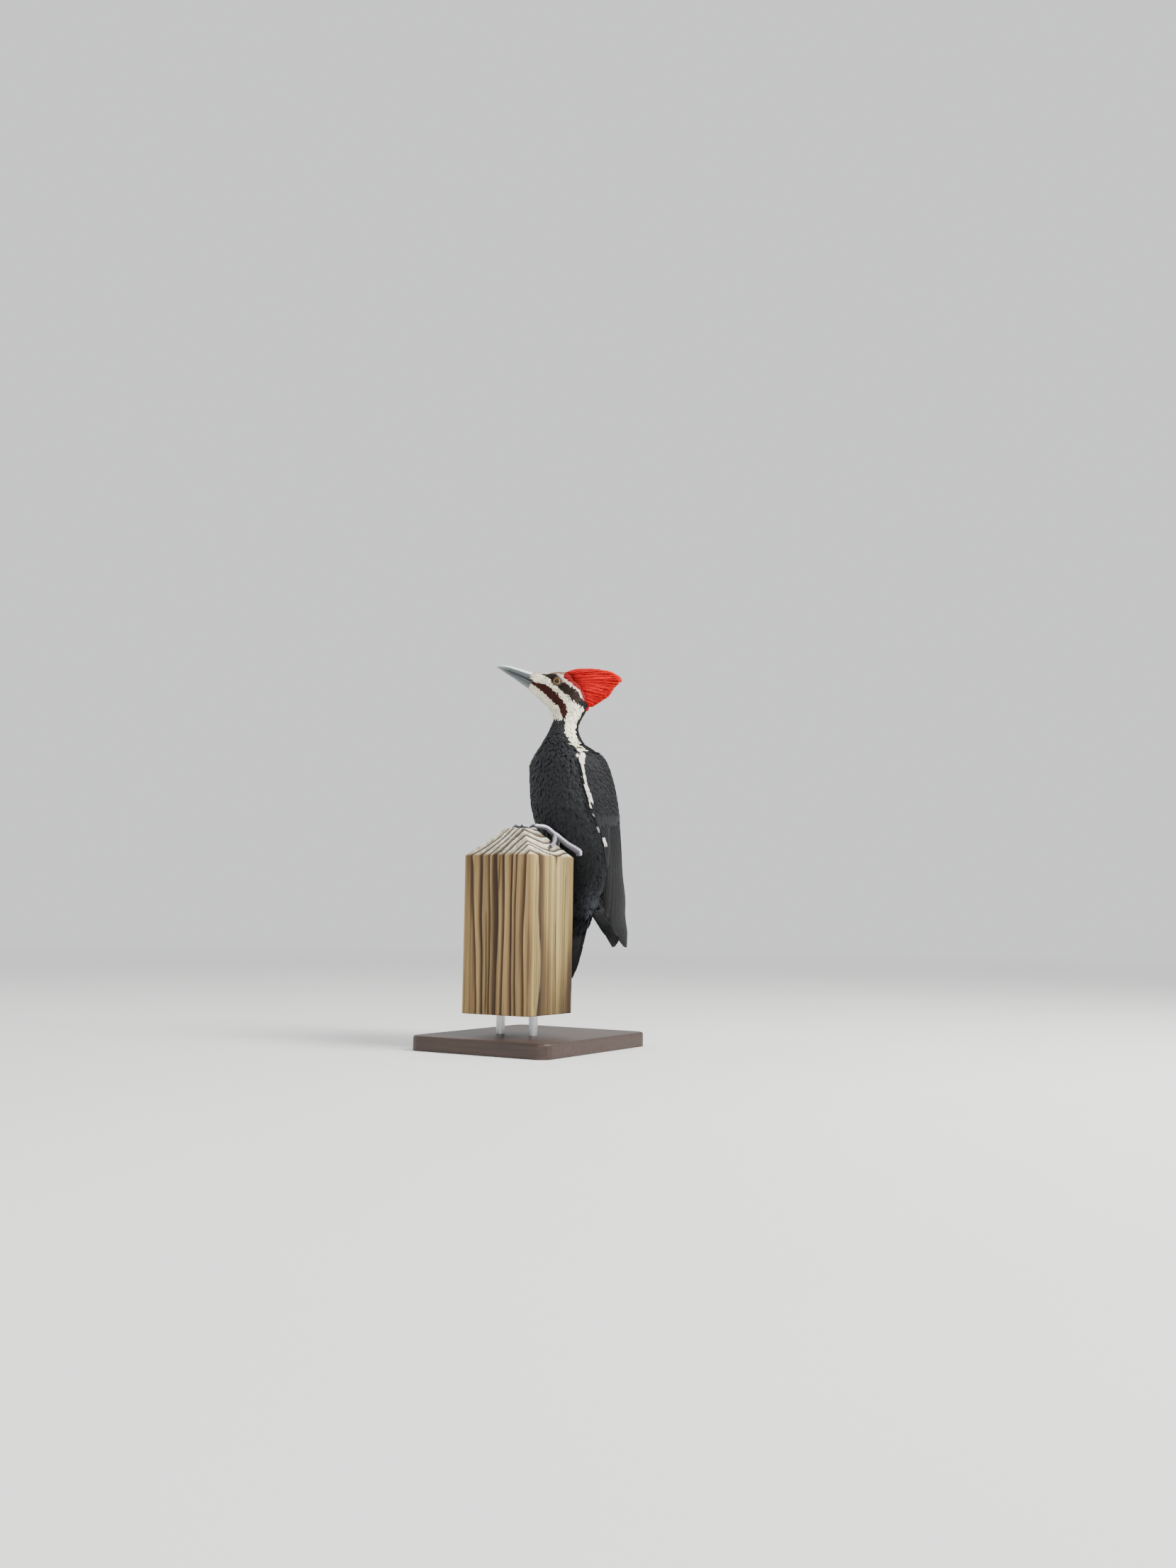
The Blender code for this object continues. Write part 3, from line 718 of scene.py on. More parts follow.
# wings: the sheets that their feathers lie on
# height, set-back, half width, half depth, thickness, angles of the leading and trailing edges
wing = (
    (123, 5.5, 37, 34, 3, 74, 112), (116, 8, 44, 40.5, 5, 66, 130), (104, 12, 48.5, 45, 6, 59, 150),
    (85, 16.6, 51, 48.5, 6, 59, 160), (63, 20.8, 53, 49.5, 6, 61, 166), (45, 25.2, 53, 48, 6, 64, 168),
    (20, 33.5, 50, 44.5, 6, 69, 169), (0, 42, 45, 41, 5.5, 70, 169), (-17, 52, 38.5, 36.5, 5, 66, 168),
    (-46, 70.5, 27, 30, 3.6, 50, 169), (-65, 82, 17.5, 24, 2.8, 38, 169), (-80, 91, 12.5, 21, 2.2, 35, 168),
    (-94, 99.5, 11, 12, 1.6, 35, 150), (-103, 104, 11, 4, 1, 50, 120),
)
wingPlan = {"perRow": 12, "columns": 49, "coat": 2.4, "thinCoat": 0.45, "coreTaper": 5.6, "coreEnd": 9.6,
            "smallUntil": 4.1, "scapularFrom": 0.78, "scapularUntil": 5.4,
            "hides": (12.6, -40.0, 9.0, 7.0)}  # from this station, above this height, laps in degrees


def wingRow(at):
    return readTable(wing, at)[0]


def wingCoat(at):  # depth of feathers over the wing's own core
    return min(wingPlan["coat"], wingPlan["thinCoat"] * wingRow(at)[4])


def wingRing(at, side, share, inset):  # share runs from the leading to the trailing edge
    height, back, half, depth, thick, lead, trail = wingRow(at)
    angle = np.radians(lead + (trail - lead) * share)
    place = np.multiply.outer((depth - inset) * np.cos(angle), bodyFront)
    return onBody(side * (half - inset) * np.sin(angle), back, height) + place


def layWing(side):
    share = even(wingPlan["columns"])[:: int(side)]
    stations = np.arange(0.0, 13.001, 1.0 / wingPlan["perRow"])
    return Bed(np.array([wingRing(at, side, share, wingCoat(at)) for at in stations]), False)


def wingPlace(side, at, share):  # a bed's row and column from a station and a share of the width
    across = share if side > 0 else 1.0 - share
    return at * wingPlan["perRow"], across * (wingPlan["columns"] - 1)


wingBeds = {side: layWing(side) for side in sides.values()}


def underWing(s, angle):  # true where the folded wing hides the flesh
    table = np.array(wing)[::-1].T
    height = np.interp(s - trunkStart, np.arange(len(trunk)), np.array(trunk)[:, 0])
    lead, trail = (np.interp(height, table[0], table[k]) for k in (5, 6))
    start, above, lap, behind = wingPlan["hides"]
    return (s > start) & (height > above) & (angle > lead + lap) & (angle < trail - behind)


# the body's coat
coatPieces = (  # name, slot, from station, to station, from angle, to angle
    ("coatFace", "head_plumage", 0, 1.9, 0, 181), ("coatCheeks", "head_plumage", 1.9, 3.6, 0, 181),
    ("coatEars", "head_plumage", 3.6, 5.2, 0, 181), ("coatHindHead", "head_plumage", 5.2, 7.4, 0, 181),
    ("coatNeck", "neck_plumage", 7.4, 11.6, 0, 181), ("coatBreast", "body_plumage", 11.6, 17.5, 0, 95),
    ("coatBack", "body_plumage", 11.6, 23.5, 95, 181), ("coatBelly", "body_plumage", 17.5, 23.5, 0, 95),
)
fineUntil = 10.2  # the face, throat and upper neck have narrow feathers
faceUntil = 5.0  # the eyes lie before this station


def coatFlesh():
    s = stationAt(fleshRows)
    hidden = underWing(s, foldedAngle(fleshColumns))
    for side in sides.values():
        behind = ((fleshBed.points - eyeCentre(side)) @ headFront) < 0.0
        bare = np.where(behind, eye["bareBehind"], eye["bareBefore"])
        hidden |= (eyeAngle(fleshBed.points, side)[0] < bare) & (s < faceUntil)
    roots = scatter(fleshBed, np.where(hidden, 0.0, planAt(3, s)))
    s, angle = stationAt(roots[0]), foldedAngle(roots[1])
    length, width = planAt(1, s), planAt(2, s)
    places = fleshBed.lay(*roots, np.zeros(len(s)))
    ahead = fleshBed.lay(roots[0] + 1.0, roots[1], np.zeros(len(s))) - places
    for side in sides.values():  # short round the lids, and never over the opening
        around = eyeAngle(places, side)[0]
        gap = (around - eye["halfLength"]) * eye["mound"] * math.pi / 180.0
        before = ((eyeCentre(side) - places) * ahead).sum(-1) > 0.0
        near = (around < 100.0) & (s < faceUntil)
        small = np.where(near, np.clip(around / 100.0, 0.5, 1.0), 1.0)
        length, width = length * small, width * small
        length = np.where(near & before, np.minimum(length, gap * 0.9 + 0.3), length)
    for name, slot, first, last, low, high in coatPieces:
        for fine in (True, False):
            own = (s >= first) & (s < last) & (angle >= low) & (angle < high) & ((s < fineUntil) == fine)
            count = int(own.sum())
            if count == 0:
                continue
            piece = layTufts(name + ("Fine" if fine and last > fineUntil else ""), fleshBed, roots[0][own],
                             roots[1][own], length[own] * draw.normal(1.0, 0.12, count),
                             width[own] * draw.normal(1.0, 0.1, count),
                             planAt(4, s[own]) * draw.normal(1.0, 0.07, count), draw.normal(0.0, 0.12, count),
                             fleshColour, bristleShape if fine else tuftShape)
            finishPiece(piece, down, slot, "head" if slot == "head_plumage" else "trunk")
            print("  ", name, count, "feathers")


def coatThigh(side, name):
    bed = thighBeds[side]
    finer = 1.0 - thighPlan["finer"] * even(bed.rows) ** 2  # small feathers at the heel
    roots = scatter(bed, np.tile(thighPlan["spacing"] * finer[:, None], bed.columns))
    count, small = len(roots[0]), np.interp(roots[0], np.arange(bed.rows), finer)
    length = draw.normal(thighPlan["length"], 0.8, count) * small
    piece = layTufts("coatThigh" + name, bed, *roots, length, thighPlan["width"] * small,
                     thighPlan["lift"] * small, draw.normal(0.0, 0.12, count),
                     plainTint(palette["belly"], 0.1))
    finishPiece(piece, down, "body_plumage", "thigh_" + name.lower())


coatFlesh()
for name, side in sides.items():
    coatThigh(side, name)
print("body coat laid")


# long feathers
webs = (-1, -0.74, -0.48, -0.22, 0.05, 0.2, 0.27, 0.3, 0.33, 0.4, 0.58, 0.8, 1)  # places across a vane
quillShape = {"steps": 40, "shaft": 0.3, "ridge": 0.3, "thick": 0.34, "camber": 0.055, "splits": 4,
              "splitFrom": 4, "splitDepth": (0.7, 0.92), "wander": 0.01}
# places along a vane, and its share of the full width there
roundTip = ((0, 0.45), (0.12, 0.8), (0.35, 1), (0.8, 0.98), (0.92, 0.8), (0.98, 0.45), (1, 0.16))
pointTip = ((0, 0.6), (0.1, 0.85), (0.4, 1), (0.7, 0.9), (0.88, 0.6), (0.96, 0.3), (1, 0.06))
slantTip = ((0, 0.5), (0.1, 0.85), (0.4, 1), (0.84, 0.94), (0.94, 0.76), (0.985, 0.46), (1, 0.16))


def slabFaces(rows, columns):  # a sheet with two sides and a rim
    count = rows * columns
    index = np.arange(count).reshape(rows, columns)
    upper = loftFaces(rows, columns, False)
    rims = [(index[1:, 0], index[:-1, 0]), (index[:-1, -1], index[1:, -1]),
            (index[0, :-1], index[0, 1:]), (index[-1, 1:], index[-1, :-1])]
    return np.concatenate([upper, upper[:, ::-1] + count]
                          + [np.stack([a, b, b + count, a + count], -1) for a, b in rims])


def layQuills(name, bed, quills, lead, colour, tip):
    # each quill: row and column of its root, the same of its tip, width, lift at root and at tip;
    # lead is the side of the narrow web
    across01 = lead * np.array(webs)[:: int(lead)]
    u = even(quillShape["steps"] + 1) ** 0.9
    wide = np.interp(u, *np.array(tip).T)
    grid = math.ceil(math.sqrt(2 * len(quills)))
    vane = np.stack(np.broadcast_arrays(across01 * 0.5 + 0.5, u[:, None]), -1).reshape(-1, 2)
    points, colours, bake, faces = [], [], [], []
    for k, (rootRow, rootColumn, tipRow, tipColumn, width, rootLift, tipLift) in enumerate(quills):
        row, column = rootRow + (tipRow - rootRow) * u, rootColumn + (tipColumn - rootColumn) * u**1.4
        along, across = bed.read(bed.stepAlong, row, column), bed.read(bed.stepAcross, row, column)
        slant = np.arctan2(np.gradient(column) * across, np.gradient(row) * along)[:, None]
        x = across01 * wide[:, None]
        for edge in (0, -1):  # splits between the barbs
            torn = draw.integers(quillShape["splitFrom"], quillShape["steps"] - 3, quillShape["splits"])
            x[torn, edge] *= draw.uniform(*quillShape["splitDepth"], len(torn))
        skew = draw.normal(0.0, quillShape["wander"], len(u)).cumsum()
        r = row[:, None] - x * width / 2.0 * np.sin(slant) / along[:, None]
        c = column[:, None] + (x * width / 2.0 * np.cos(slant) + skew[:, None]) / across[:, None]
        lift = (rootLift + (tipLift - rootLift) * u)[:, None]
        lift = lift + quillShape["camber"] * width * (1.0 - across01**2) * wide[:, None]
        shaft = np.abs(across01 - lead * quillShape["shaft"]) < 0.01
        ridge = quillShape["ridge"] * shaft * (1.1 - u)[:, None]
        thick = quillShape["thick"] * (1.0 - 0.75 * across01**2) * (1.0 - 0.6 * u)[:, None]
        points += [bed.lay(r, c, lift + ridge), bed.lay(r, c, lift - thick - ridge * 0.6)]
        paint = colour(k / (len(quills) - 1), u[:, None], across01[None] * lead)
        # the underside of each quill is painted 0.85 as dark: painted shade
        colours += [paint, paint * 0.85]
        own = np.stack([(x * 0.5 + 0.5).ravel(), vane[:, 1]], -1) * 0.92 + 0.04
        bake += [(own + (cell % grid, cell // grid)) / grid for cell in (2 * k, 2 * k + 1)]
        faces.append(slabFaces(*x.shape) + 2 * k * x.size)
    points, colours = (np.concatenate([part.reshape(-1, 3) for part in parts]) for parts in (points, colours))
    maps = {"vane": np.tile(vane, (2 * len(quills), 1)), "OFBake": np.concatenate(bake)}
    return newMesh(name, points, [np.concatenate(faces)], maps, colours)


wingTones = tones(covert=(20, 21, 25), quill=(14, 15, 18), edge=(42, 44, 50), worn=(44, 40, 34),
                  white=(238, 234, 222), grey=(140, 140, 140))
# rows of long feathers: how many, then for the first and for the last one the station and place across
# of its root and of its tip, its width, its lift at root and at tip
quillRows = {
    "flight": (19, (5, 0.18, 10.1, 0.1, 10, 0.5, 0.3), (3.4, 0.97, 7.8, 0.97, 16, 1.8, 1.9)),
    "primaryCoverts": (10, (3.7, 0.24, 5.5, 0.17, 5.6, 1.3, 1.8), (4.6, 0.078, 7.48, 0.062, 5.6, 1.3, 1.8)),
    "greaterCoverts": (17, (2.5, 0.06, 5.45, 0.05, 7.4, 1.3, 2.3), (2.5, 0.98, 5, 0.97, 10.8, 1.3, 2.6)),
}
# tips of the flight feathers, from the innermost tertial to the outermost primary: share of the row,
# station, place across
quillTips = ((0, 7.8, 0.97), (0.15, 8.5, 0.86), (0.3, 9, 0.74), (0.42, 9.7, 0.66), (0.5, 10.8, 0.8),
             (0.6, 11.9, 0.84), (0.7, 12.6, 0.8), (0.8, 13, 0.6), (0.88, 12.7, 0.4), (0.94, 11.7, 0.25),
             (1, 10.1, 0.1))
# small feathers over the wing: name, length at the shoulder and its growth each station, the same of the
# width, their spread, lift, lean towards the back, variety, tone, paler rim
smallRows = (("lesserCoverts", 8.0, 5.0 / 4.1, 3.2, 2.6 / 4.1, 0.08, 2.7, 0.0, 0.07, 1.0, 0.12),
             ("scapulars", 11.0, 1.6, 5.0, 0.5, 0.06, 3.5, 0.05, 0.06, 0.95, 0.1))
# white feathers on the wing's front edge: stations, places across, count, length, width, tone
whiteEdge = (
    (0.2, 1.1, -0.03, 0.046, 110, 9, 1.3, "white"), (1.2, 2.2, 0, 0.024, 56, 9, 1.1, "white"),
    (2.1, 2.8, 0.003, 0.02, 36, 9, 1, "white"), (2.7, 3.3, 0, 0.034, 48, 9, 1.2, "white"),
    (3.2, 3.75, 0.004, 0.05, 56, 9, 1.3, "white"), (3.75, 4.1, 0, 0.014, 14, 7, 1.1, "white"),
    (4.5, 4.65, 0, 0.02, 8, 6, 1.1, "grey"), (5.3, 5.45, 0, 0.024, 9, 6, 1.2, "grey"),
    (5.7, 6, 0.05, 0.085, 26, 8, 1.3, "white"),
)


def tintQuill(share, u, web):
    paint = blend(wingTones["quill"], wingTones["edge"], 0.55 * ramped(web, 0.55, 0.4))
    worn = ramped(u, 0.93, 0.05) * (0.8 if share < 0.5 else 0.25)
    return np.clip(blend(paint, wingTones["worn"], worn) * draw.normal(1.0, 0.05), 0.0, 1.0)


def tintCovert(share, u, web):
    edge = np.clip(np.maximum(np.abs(web) - 0.6, 0.0) + np.maximum(u - 0.85, 0.0) * 2.0, 0.0, 1.0)
    return np.clip(blend(wingTones["covert"], wingTones["edge"], edge) * draw.normal(1.0, 0.07), 0.0, 1.0)


def wingQuills(side, kind):
    count, first, last = quillRows[kind]
    rows = np.array(first) + np.subtract(last, first) * even(count)[:, None]
    if kind == "flight":
        shares, at, across = np.array(quillTips).T
        rows[:, 2], rows[:, 3] = (np.interp(even(count)[::-1], shares, part) for part in (at, across))
    if kind == "greaterCoverts":
        rows[:, 2] += draw.normal(0.0, 0.09, count)
    return np.column_stack([*wingPlace(side, *rows.T[:2]), *wingPlace(side, *rows.T[2:4]), rows[:, 4:]])


def buildWingBed(side, name, node):
    rings, across = [], even(33)
    taper, end = wingPlan["coreTaper"], wingPlan["coreEnd"]
    for at in np.arange(0.0, end + 0.01, 0.25):
        narrow = ramped(at, taper, end - taper)  # stays under the long feathers
        share, coat = across * (1.0 - 0.42 * narrow), wingCoat(at)
        thick = wingRow(at)[4] * (1.0 - 0.5 * narrow) * (0.3 + 0.7 * np.sin(np.pi * across) ** 0.6)
        inside = wingRing(at, side, share, np.maximum(thick, coat + 0.25))
        rings.append(np.concatenate([wingRing(at, side, share, coat), inside[::-1]]))
    # the core is painted darker than the quills: painted shade under the feathers
    core = newTubes("wingBed" + name, [np.array(rings)], colours=wingTones["quill"] * 0.8)
    finishPiece(core, skinTissue, "wing_plumage", node)


def buildWing(side, name):
    bed, node = wingBeds[side], "wing_" + name.lower()
    buildWingBed(side, name, node)
    coverts = ("primaryCoverts", "greaterCoverts")
    for kind, rows, tint, tip in (("flightFeathers", ("flight",), tintQuill, slantTip),
                                  ("wingCoverts", coverts, tintCovert, roundTip)):
        quills = np.concatenate([wingQuills(side, row) for row in rows])
        finishPiece(layQuills(kind + name, bed, quills, -side, tint, tip), vanes, "wing_plumage", node)

    at = np.arange(bed.rows)[:, None] / wingPlan["perRow"] + np.zeros(bed.columns)
    inner = even(bed.columns)[:: int(side)]
    shoulder = (inner > wingPlan["scapularFrom"] + 0.03 * at) & (at < wingPlan["scapularUntil"])
    spacings = {"lesserCoverts": np.where(at < wingPlan["smallUntil"], 1.7 + 0.3 * at, 0.0),
                "scapulars": np.where(shoulder, 2.6, 0.0)}
    for kind, long, longer, wide, wider, spread, high, lean, vary, dark, rim in smallRows:
        roots = scatter(bed, spacings[kind])
        count, far = len(roots[0]), roots[0] / wingPlan["perRow"]
        length = (long + longer * far) * draw.normal(1.0, 0.08, count)
        width = (wide + wider * far) * draw.normal(1.0, spread, count)
        lift, turn = high * draw.normal(1.0, 0.05, count), draw.normal(lean * side, vary, count)
        tint = plainTint(wingTones["covert"] * dark, vary, rim)
        small = layTufts(kind + name, bed, *roots, length, width, lift, turn, tint)
        finishPiece(small, down, "wing_plumage", node)

    rows = []
    for fromAt, toAt, fromShare, toShare, many, long, wide, shade in whiteEdge:
        place = wingPlace(side, draw.uniform(fromAt, toAt, many), draw.uniform(fromShare, toShare, many))
        size = draw.normal(long, 0.5, many), draw.normal(wide, 0.15, many)
        rows.append(np.column_stack([*place, *size, np.tile(wingTones[shade], (many, 1))]))
    row, column, length, width, *paint = np.concatenate(rows).T
    paint = np.stack(paint, -1)[:, None]
    lift = np.where(row / wingPlan["perRow"] < 4.3, 3.2, 2.4) * draw.normal(1.0, 0.05, len(row))
    turn = draw.normal(0.0, 0.05, len(row))
    # the white and grey tufts get painted shade towards their roots
    edge = layTufts("wingEdge" + name, bed, row, column, length, width, lift, turn,
                    lambda row, column, u, v: paint * (0.75 + 0.25 * u)[:, None], bristleShape)
    finishPiece(edge, down, "wing_plumage", node)


for name, side in sides.items():
    buildWing(side, name)
print("wings feathered")


# tail
tail = ((-58, 31), (-72, 26), (-95, 19), (-120, 12), (-138, 7), (-148, 4.2), (-156, 2.2))  # height, set-back
tailPlan = {"from": -46.0, "to": -157.0, "step": 2.0, "columns": 25, "half": 24.0, "cup": 3.2,
            "rectrices": 12, "root": -48.0, "rootSpread": 16.5, "tip": -155.5, "tipSpread": 17.5,
            "shorter": 26.0, "narrower": 3.5, "width": 12.5, "coverts": 110, "covertLift": 4.6}
tailTones = tones(web=(17, 18, 21), sheen=(66, 70, 78), worn=(54, 48, 40))


def layTail(facing):  # facing 1 is the tail's upper side, -1 its underside
    rows = np.array(tail, float)
    lateral = np.linspace(1.0, -1.0, tailPlan["columns"]) * facing
    rings = []
    for height in np.arange(tailPlan["from"], tailPlan["to"] - 0.1, -tailPlan["step"]):
        turn = min(1.0, 2.0 * ramped(-height, -rows[0, 0], rows[0, 0] - rows[-1, 0]))
        yaw = site["bodyYaw"] + (site["tailYaw"] - site["bodyYaw"]) * turn
        back = np.full(len(lateral), np.interp(-height, -rows[:, 0], rows[:, 1]))
        place = onBody(lateral * tailPlan["half"], back, height, leftOf(yaw))
        rings.append(place + np.multiply.outer(tailPlan["cup"] * turn * lateral**2, forward(yaw)))
    return Bed(eased(np.array(rings), 2.0), False)


def tailPlace(height, lateral):
    return ((tailPlan["from"] - height) / tailPlan["step"],
            (1.0 - lateral / tailPlan["half"]) * (tailPlan["columns"] - 1) / 2.0)


def tintTail(share, u, web):
    # painted sheen: the webs lighter towards their edges, most on the outer feathers and away from the tips
    sheen = ramped(np.abs(web), 0.3, 0.6) * np.clip(1.3 - u, 0.0, 1.0) * (1.0 - 0.6 * share)
    paint = blend(tailTones["web"], tailTones["sheen"], sheen)
    return np.clip(blend(paint, tailTones["worn"], 0.6 * ramped(u, 0.94, 0.05)), 0.0, 1.0)


def buildTail():
    upper, lower = layTail(1.0), layTail(-1.0)
    quills = []
    shares = np.linspace(-1.0, 1.0, tailPlan["rectrices"])
    for share in shares[np.argsort(-np.abs(shares))]:
        out = abs(share)
        tip = tailPlan["tip"] + tailPlan["shorter"] * out**1.6
        quills.append((*tailPlace(tailPlan["root"], share * tailPlan["rootSpread"]),
                       *tailPlace(tip, share * tailPlan["tipSpread"]),
                       tailPlan["width"] - tailPlan["narrower"] * out, 2.6 - 1.6 * out, 1.2 - 2.4 * out))
    finishPiece(layQuills("rectrices", upper, quills, 1.0, tintTail, pointTip), vanes, "tail_plumage", "tail")
    count = tailPlan["coverts"]
    for bed, name in ((upper, "tailCovertsUpper"), (lower, "tailCovertsUnder")):
        row, column = draw.uniform(0.0, 14.0, count), draw.uniform(2.5, tailPlan["columns"] - 3.5, count)
        length, width = draw.normal(17.0, 1.6, count), draw.normal(7.0, 0.5, count)
        lift = tailPlan["covertLift"] * np.clip(1.0 - row / 18.0, 0.24, 1.0)
        coverts = layTufts(name, bed, row, column, length, width, lift, draw.normal(0.0, 0.06, count),
                           plainTint(palette["vent"], 0.1), sink=0.0)
        finishPiece(coverts, down, "tail_plumage", "tail")


buildTail()
print("tail feathered")


# crest
crestRoot = (57.0, 197.0)  # along and height of where its bed fans out from
crestEdge = (  # along, height and half width of the crest's rim
    (48, 219.6, 2), (58, 222.6, 2.6), (75, 223, 2.6), (95.6, 221.6, 2), (107, 217.6, 1.6),
    (115.2, 210, 1.2), (106.5, 201, 1.6), (99.7, 190.6, 2), (91, 184.6, 2.4), (80.6, 177.8, 2.8),
)
crestPlan = {"half": 10.5, "core": 0.86, "spacing": 1.02, "width": 1.45, "from": 2.75, "to": 6.9,
             "aboveBrow": 3.0, "peak": 162.0, "peakSlope": 42.0, "focus": (4.0, 205.0), "layers": 3,
             "shorter": 0.36, "bulge": 0.09, "camber": 0.16}
# a plume's width in steps from root to tip, as a share of the full one
crestForm = np.interp(even(8), [0.0, 0.25, 0.6, 0.85, 1.0], [0.7, 1.0, 0.95, 0.6, 0.1])
# the last two tones are painted highlight on the plumes' upper ends
crestTones = tones(root=(78, 2, 6), red=(192, 0, 8), tip=(222, 16, 12), glow=(244, 76, 44))


def crestReach(along, height, angle):  # how far a ray in the head's own plane runs before it leaves the crest
    edge = readTable(crestEdge, np.linspace(0, len(crestEdge) - 1, 60))[:, :2]
    x, y = np.cos(angle), np.sin(angle)
    reach = np.full(len(along), 4.0)
    for a, b in zip(edge[:-1], edge[1:]):
        side = b - a
        cross = x * side[1] - y * side[0]
        cross = np.where(np.abs(cross) < 1e-9, 1e-9, cross)
        gapAlong, gapHeight = a[0] - along, a[1] - height
        run = (gapAlong * side[1] - gapHeight * side[0]) / cross
        share = (gapAlong * y - gapHeight * x) / cross
        reach = np.where((run > 0) & (share >= 0) & (share <= 1), np.maximum(reach, run), reach)
    return reach


def buildCrestBed():
    rings, root, parts = [], np.array(crestRoot), np.array([0.25, 0.5, 0.7, 0.86, 1.0])
    for along, height, half in readTable(crestEdge, np.linspace(0, len(crestEdge) - 1, 37)):
        spots = root + (np.array([along, height]) - root) * crestPlan["core"] * parts[:, None]
        wide = crestPlan["half"] * (1.0 - parts) ** 0.8 + 0.7 * half * parts
        rings.append(np.concatenate([onHead(*spots.T, wide), onHead(*spots.T, -wide)[::-1]]))
    core = newTubes("crestBed", [np.array(rings)], colours=crestTones["root"])
    finishPiece(core, skinTissue, "crest_plumage", "crest")


def buildCrest():
    s, angle = stationAt(fleshRows), foldedAngle(fleshColumns)
    brow = np.interp(s, [band[0] for band in bands], [band[5] for band in bands])
    start, end = crestPlan["from"], crestPlan["to"]
    front = crestPlan["peak"] - crestPlan["peakSlope"] * (s - start)  # the rooted patch narrows forwards
    own = (s > start) & (s < end) & (angle > np.maximum(brow + crestPlan["aboveBrow"], front))
    roots = scatter(fleshBed, np.where(own, crestPlan["spacing"], 0.0))
    row, column = (np.tile(part, crestPlan["layers"]) for part in roots)
    count, short = len(row), len(roots[0])  # the last layer's plumes are short ones
    root = fleshBed.lay(row, column, np.full(count, 0.2))
    outward = fleshBed.read(fleshBed.normals, row, column)
    along, height, lateral = headFrame(root)
    focusAlong, focusHeight = crestPlan["focus"]
    aim = np.arctan2(height - focusHeight, along - focusAlong) + draw.normal(0.0, 0.06, count)
    reach = crestReach(along, height, aim)
    length = reach * (1.0 - crestPlan["shorter"] * draw.random(count) ** 2.0)
    length[-short:] *= draw.uniform(0.3, 0.8, short)
    tipHeight, fill = height + length * np.sin(aim), np.clip(length / reach, 0.0, 1.0)
    tipLateral = lateral * (1.0 - fill) * 0.9 + np.sign(lateral) * draw.uniform(-0.3, 2.2, count) * fill
    tip = onHead(along + length * np.cos(aim), tipHeight, tipLateral)
    middle = (root + tip) / 2.0 + outward * (crestPlan["bulge"] * length)[:, None]
    share = even(len(crestForm))
    upward = unit(lateral[:, None] * headLeft * 0.12 + 0.35 * skyward)
    facing = unit(outward[:, None] + (upward - outward)[:, None] * share[:, None])
    width = draw.normal(crestPlan["width"], 0.2, count)
    paint = blend(crestTones["root"], crestTones["red"], ramped(share, 0.0, 0.35))
    # painted highlight: the outer ends of the plumes take the tip tone, then the pale orange tone, more the
    # higher they reach
    outer = ramped(share, 0.6, 0.4) * fill[:, None] ** 2
    high = np.clip((tipHeight - 205.0) / 14.0, 0.15, 1.0)[:, None]
    paint = blend(blend(paint, crestTones["tip"], outer * 0.8 * high), crestTones["glow"],
                  np.clip(outer - 0.75, 0, 1) * 2.0 * high)
    paint = paint * draw.normal(1.0, 0.1, (count, 1, 1))
    crest = layPlumes("crestPlumes", root, middle, tip, facing, crestForm, width, crestPlan["camber"],
                      paint, row, column)
    finishPiece(crest, plumes, "crest_plumage", "crest")
    print("  ", count, "crest plumes")


buildCrestBed()
buildCrest()


# bill
# along and height of the upper edge, the same of the lower edge, half width
billUpper = (
    (16, 216.2, 9.6, 206.2, 6.8), (6.2, 218.2, 2.6, 209.6, 6), (-5, 221.5, -7.4, 214, 4.8),
    (-19.3, 225, -20.8, 219.5, 3.3), (-27, 225.6, -28.2, 222.4, 2.2), (-32, 224.6, -32.6, 223.6, 1.2),
)
billLower = (
    (9.2, 205.6, 4.6, 198.4, 6.4), (2.3, 209.1, -2.6, 203.2, 5.6), (-7.6, 213.4, -10.4, 208.8, 4.4),
    (-20.6, 218.8, -21.6, 215.9, 2.9), (-27.6, 221.6, -28, 220, 1.9), (-31.2, 222.8, -31.4, 222, 1),
)
# half of each mandible's section: share of its depth from the culmen or the gonys, share of its half width
upperSection = ((0, 0.06), (0.05, 0.2), (0.22, 0.42), (0.42, 0.66), (0.56, 0.84), (0.62, 0.87), (0.7, 0.84),
                (0.8, 0.92), (0.88, 1), (0.95, 0.99), (1, 0.9), (0.97, 0.45), (0.94, 0))
lowerSection = ((0, 0.08), (0.04, 0.3), (0.15, 0.58), (0.34, 0.8), (0.58, 0.92), (0.8, 0.96), (0.93, 0.92),
                (1, 0.8), (0.97, 0.45), (0.94, 0))
# the ridge tone is a painted highlight where the culmen catches the light; the flank tone is painted shade on
# the sides
billTones = tones(ridge=(222, 236, 228), flank=(58, 66, 72), edge=(26, 28, 30), lower=(112, 118, 114),
                  tip=(178, 186, 176))


